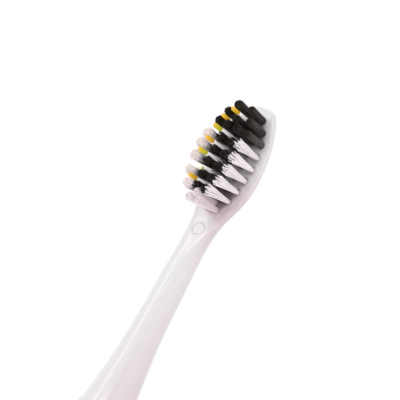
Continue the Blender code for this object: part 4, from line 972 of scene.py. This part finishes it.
def housing_radius(height):
    """The housing's outer radius, which tapers from its widest height to both ends."""
    if height < WIDEST_HEIGHT:
        share = (WIDEST_HEIGHT - height) / WIDEST_HEIGHT
        return HANDLE_RADIUS - (HANDLE_RADIUS - BASE_RADIUS) * share ** 2
    share = (height - WIDEST_HEIGHT) / (HANDLE_TOP - WIDEST_HEIGHT)
    return HANDLE_RADIUS - (HANDLE_RADIUS - TOP_RADIUS) * share ** TOP_TAPER


def button_dip(x, y, z):
    """How far the housing sinks at a point of its front."""
    if y > 0.0:
        return 0.0
    share = math.hypot(x, z - BUTTON_MIDDLE) / DIP_RADIUS
    return DIP_DEPTH * (1.0 - share ** 4) ** 2 if share < 1.0 else 0.0


def build_housing(material):
    """The one-piece housing with a soft dip round its button, and holes for button and lens."""
    foot = HANDLE_LOW.z
    ledge_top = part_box("shaft_seal")[0].z - GAP
    ledge = ledge_top - LEDGE_HEIGHT
    outside = [foot + (HANDLE_TOP - foot) * i / HOUSING_STEPS for i in range(HOUSING_STEPS + 1)]
    inside = [foot + (ledge - 2 * WALL - foot) * i / HOLLOW_STEPS for i in range(HOLLOW_STEPS + 1)]
    outline = [(housing_radius(z), z) for z in outside]
    for end in (0, -1):
        outline[end] += (RIM_ROUNDING,)
    pocket = TOP_RADIUS - WALL
    outline += [
        (pocket, HANDLE_TOP), (pocket, ledge_top), (LEDGE_BORE, ledge_top, 0.2),
        (LEDGE_BORE, ledge, 0.2), (housing_radius(inside[-1]) - 1.5 * WALL, ledge),
    ]
    outline += [(housing_radius(z) - WALL, z) for z in reversed(inside)]
    vertices, faces = turned_mesh(rounded(outline), HOUSING_SIDES)
    for vertex in vertices:
        radius = math.hypot(vertex.x, vertex.y)
        if radius > housing_radius(vertex.z) - WALL / 2 and vertex.z < HANDLE_TOP - WALL:
            sunk = (radius - button_dip(*vertex)) / radius
            vertex.x *= sunk
            vertex.y *= sunk
    piece = make_piece("housing", vertices, faces, material, "handle", ("handle_shell",))
    hole = [(x, z + BUTTON_MIDDLE) for x, z in circle(BUTTON_RADIUS + GAP, BUTTON_SIDES)]
    window = slot_outline(LENS_HALF_WIDTH + GAP, LENS_LOW.z - GAP, LENS_HIGH.z + GAP)
    front, middle = -2.0 * HANDLE_RADIUS, -0.5 * HANDLE_RADIUS
    shape_with(piece, [
        add_mesh("button_hole", *prism(hole, front, middle)),
        add_mesh("lens_hole", *prism(window, front, middle)),
    ], "DIFFERENCE")


def build_lens(material):
    """The lamp lens: a slot-shaped plug whose face follows the housing and has a rounded edge."""
    low, high = LENS_LOW.z + LENS_HALF_WIDTH, LENS_HIGH.z - LENS_HALF_WIDTH
    vertices, rings = [], []
    for share, sunk in LENS_RINGS:
        ring = []
        for x, z in slot_outline(LENS_HALF_WIDTH, LENS_LOW.z, LENS_HIGH.z, LENS_END_STEPS):
            spine = min(max(z, low), high)
            across, height = x * share, spine + (z - spine) * share
            skin = -math.sqrt(housing_radius(height) ** 2 - across ** 2)
            ring.append(len(vertices))
            vertices.append(Vector((across, LENS_HIGH.y if sunk is None else skin + sunk * MM, height)))
        rings.append(ring)
    make_piece("lamp_window", vertices, skin_faces(rings), material, "handle", ("light_guide",))


def build_button(material):
    """The dished power button with a fine ring on its face, its stem and its two lugs."""
    front = BUTTON_LOW.y
    lug_front = WALL - housing_radius(BUTTON_MIDDLE) + 2 * GAP
    lug_back = lug_front + LUG_DEPTH
    back = lug_back + GAP / 2
    outline = []
    for i in range(FACE_STEPS + 1):
        radius = CROWN_SHARE * BUTTON_RADIUS * i / FACE_STEPS
        groove = GROOVE_DEPTH * math.exp(-((radius - GROOVE_SHARE * BUTTON_RADIUS) / GROOVE_WIDTH) ** 2)
        outline.append((radius, front + BUTTON_DISH * (1.0 - (i / FACE_STEPS) ** 2) + groove))
    outline += [
        (EDGE_SHARE * BUTTON_RADIUS, front, 0.3), (BUTTON_RADIUS, front + EDGE_DROP, 0.2),
        (BUTTON_RADIUS, back), (STEM_RADIUS, back), (STEM_RADIUS, BUTTON_HIGH.y, 0.2),
        (0.0, BUTTON_HIGH.y),
    ]
    vertices, faces = turned_mesh(rounded(outline), BUTTON_SIDES)
    vertices = [Vector((v.x, v.z, BUTTON_MIDDLE - v.y)) for v in vertices]
    piece = make_piece("button_cap", vertices, faces, material, "button",
                       ("power_button",))
    lugs = []
    for side, edge in ((1, BUTTON_HIGH.z), (-1, BUTTON_LOW.z)):
        low, high = sorted((BUTTON_MIDDLE + side * LUG_SHARE * BUTTON_RADIUS, edge))
        lugs.append(add_mesh("lug", *prism(block_outline(LUG_HALF_WIDTH, low, high), lug_front, lug_back)))
    shape_with(piece, lugs, "UNION")


def build_base_cap(material):
    """The foot, its spigot with the seal's groove, and the charger post's well."""
    low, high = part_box("base_cap")
    seal_low, seal_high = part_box("base_seal")
    flange_top = HANDLE_LOW.z - GAP
    spigot = housing_radius(flange_top) - WALL - GAP
    groove = spigot - SEAL_GROOVE_DEPTH
    turned_piece("foot_cap", [
        (WELL_RADIUS, low.z, 0.5), (high.x, low.z, 0.9), (high.x, flange_top, 0.2),
        (spigot, flange_top), (spigot, seal_low.z - GAP), (groove, seal_low.z - GAP),
        (groove, seal_high.z + GAP), (spigot, seal_high.z + GAP), (spigot, SPIGOT_TOP, 0.3),
        (spigot - CAP_WALL, SPIGOT_TOP, 0.2), (spigot - CAP_WALL, flange_top),
        (POST_RADIUS, flange_top), (POST_RADIUS, high.z, 0.3), (0.0, high.z),
        (0.0, high.z - CAP_WALL), (WELL_RADIUS, high.z - CAP_WALL, 0.4),
    ], material, "handle", "base_cap")


def build_bezel(material):
    """The bezel, whose slope leads from the housing to the brush head's ring."""
    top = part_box("top_bezel")[1].z
    ring_low, ring_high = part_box("colour_ring")
    slope = (TOP_RADIUS - ring_high.x) / (ring_low.z - HANDLE_TOP)
    bore, foot = BOOT_RADIUS + GAP, HANDLE_TOP + GAP
    turned_piece("bezel_ring", [
        (bore, HANDLE_TOP - GAP), (PLUG_RADIUS, HANDLE_TOP - GAP), (PLUG_RADIUS, foot),
        (TOP_RADIUS - slope * GAP, foot, 0.15),
        (TOP_RADIUS - slope * (top - HANDLE_TOP), top, 0.5), (bore, top, 0.3),
    ], material, "handle", "top_bezel")


def build_boot(material):
    """The shaft's rubber seal with its soft lip."""
    low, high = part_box("shaft_seal")
    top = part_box("top_bezel")[1].z - GAP
    shoulder = HANDLE_TOP - 2 * GAP
    turned_piece("shaft_boot", [
        (BOOT_BORE, low.z), (PLUG_RADIUS, low.z), (PLUG_RADIUS, shoulder),
        (BOOT_RADIUS, shoulder), (BOOT_RADIUS, top, 0.3), (BOOT_RADIUS - LIP_WIDTH, top, 0.2),
        (BOOT_RADIUS - FOLD_WIDTH, top - 1.5 * GAP, 0.3), (BOOT_BORE + 2 * GAP, high.z, 0.25),
        (BOOT_BORE, high.z - GAP, 0.1),
    ], material, "handle", "shaft_seal")


def build_ring(material):
    """The coloured ring on the brush head's foot."""
    low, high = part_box("colour_ring")
    inner = high.x - RING_WALL
    turned_piece("foot_ring", [
        (inner, low.z, 0.15), (high.x, low.z, 0.35), (high.x, high.z, 0.2), (inner, high.z),
    ], material, "brush_head", "colour_ring")


def build_shaft(material):
    """The drive shaft with its shoulder and the flat that keys the brush head."""
    low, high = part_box("drive_shaft")
    shoulder_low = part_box("top_bezel")[1].z + 2 * GAP
    shoulder_high = shoulder_low + SHOULDER_HEIGHT
    vertices, faces = turned_mesh(rounded([
        (0.0, low.z), (SHAFT_RADIUS, low.z, 0.2), (SHAFT_RADIUS, shoulder_low),
        (high.x, shoulder_low, 0.2), (high.x, shoulder_high, 0.3), (SHAFT_RADIUS, shoulder_high),
        (SHAFT_RADIUS, high.z, 0.45), (0.0, high.z),
    ]), SHAFT_SIDES)
    piece = make_piece("steel_shaft", vertices, faces, material, "drive", ("drive_shaft",))
    reach = 2 * SHAFT_RADIUS
    outline = block_outline(reach, high.z - FLAT_LENGTH, high.z + MM)
    shape_with(piece, [add_mesh("flat", *prism(outline, FLAT_DEPTH, reach))], "DIFFERENCE")


def dress_nodes(materials):
    """Gives every node of the model the finish of its slot."""
    for part in frame["record"]["subparts"]:
        piece = frame["nodes"][part["node"]]
        piece.data.materials.clear()
        piece.data.materials.append(materials[part["material_slot"]])


def make_floor():
    """A plain pale floor that fades to white away from the brush."""
    ring = [(x, y, 0.0) for x, y in circle(FLOOR_RADIUS, FLOOR_SIDES)]
    floor = add_mesh("floor", ring, [list(range(FLOOR_SIDES))])
    material, tree, shader = new_shader("floor_finish", 0.8)
    clouds = spread(tree, add_noise(tree, FLOOR_CLOUDS, 2.0))
    feed(tree, shader, {"Base Color": blend_colours(tree, clouds, (244, 243, 243), (241, 240, 240))})
    away = add_node(tree, "ShaderNodeVectorMath", {0: object_place(tree)}, operation="LENGTH")
    fade = map_range(tree, away.outputs["Value"], FADE_START, FADE_END, FADE_LEAST, 1.0, "SMOOTHSTEP")
    seen = add_node(tree, "ShaderNodeMath", {0: fade, 1: background_rays(tree)}, operation="MULTIPLY")
    white = tree.nodes.new("ShaderNodeEmission")
    out = tree.nodes["Material Output"]
    show_mix(tree, seen.outputs["Value"], shader.outputs["BSDF"], white.outputs["Emission"], out)
    floor.data.materials.append(material)


bpy.context.scene.view_settings.view_transform = "Standard"
make_light(*make_camera())
make_floor()
slot_materials = make_slot_materials()
dress_nodes(slot_materials)
build_head(slot_materials["head_plastic"])
build_tufts(make_tuft_materials())
for build_part, part_slot in (
    (build_housing, "handle_plastic"), (build_lens, "lamp_lens"), (build_button, "button_plastic"),
    (build_base_cap, "cap_plastic"), (build_bezel, "bezel_plastic"), (build_boot, "rubber"),
    (build_ring, "ring_plastic"), (build_shaft, "shaft_steel"),
):
    build_part(slot_materials[part_slot])
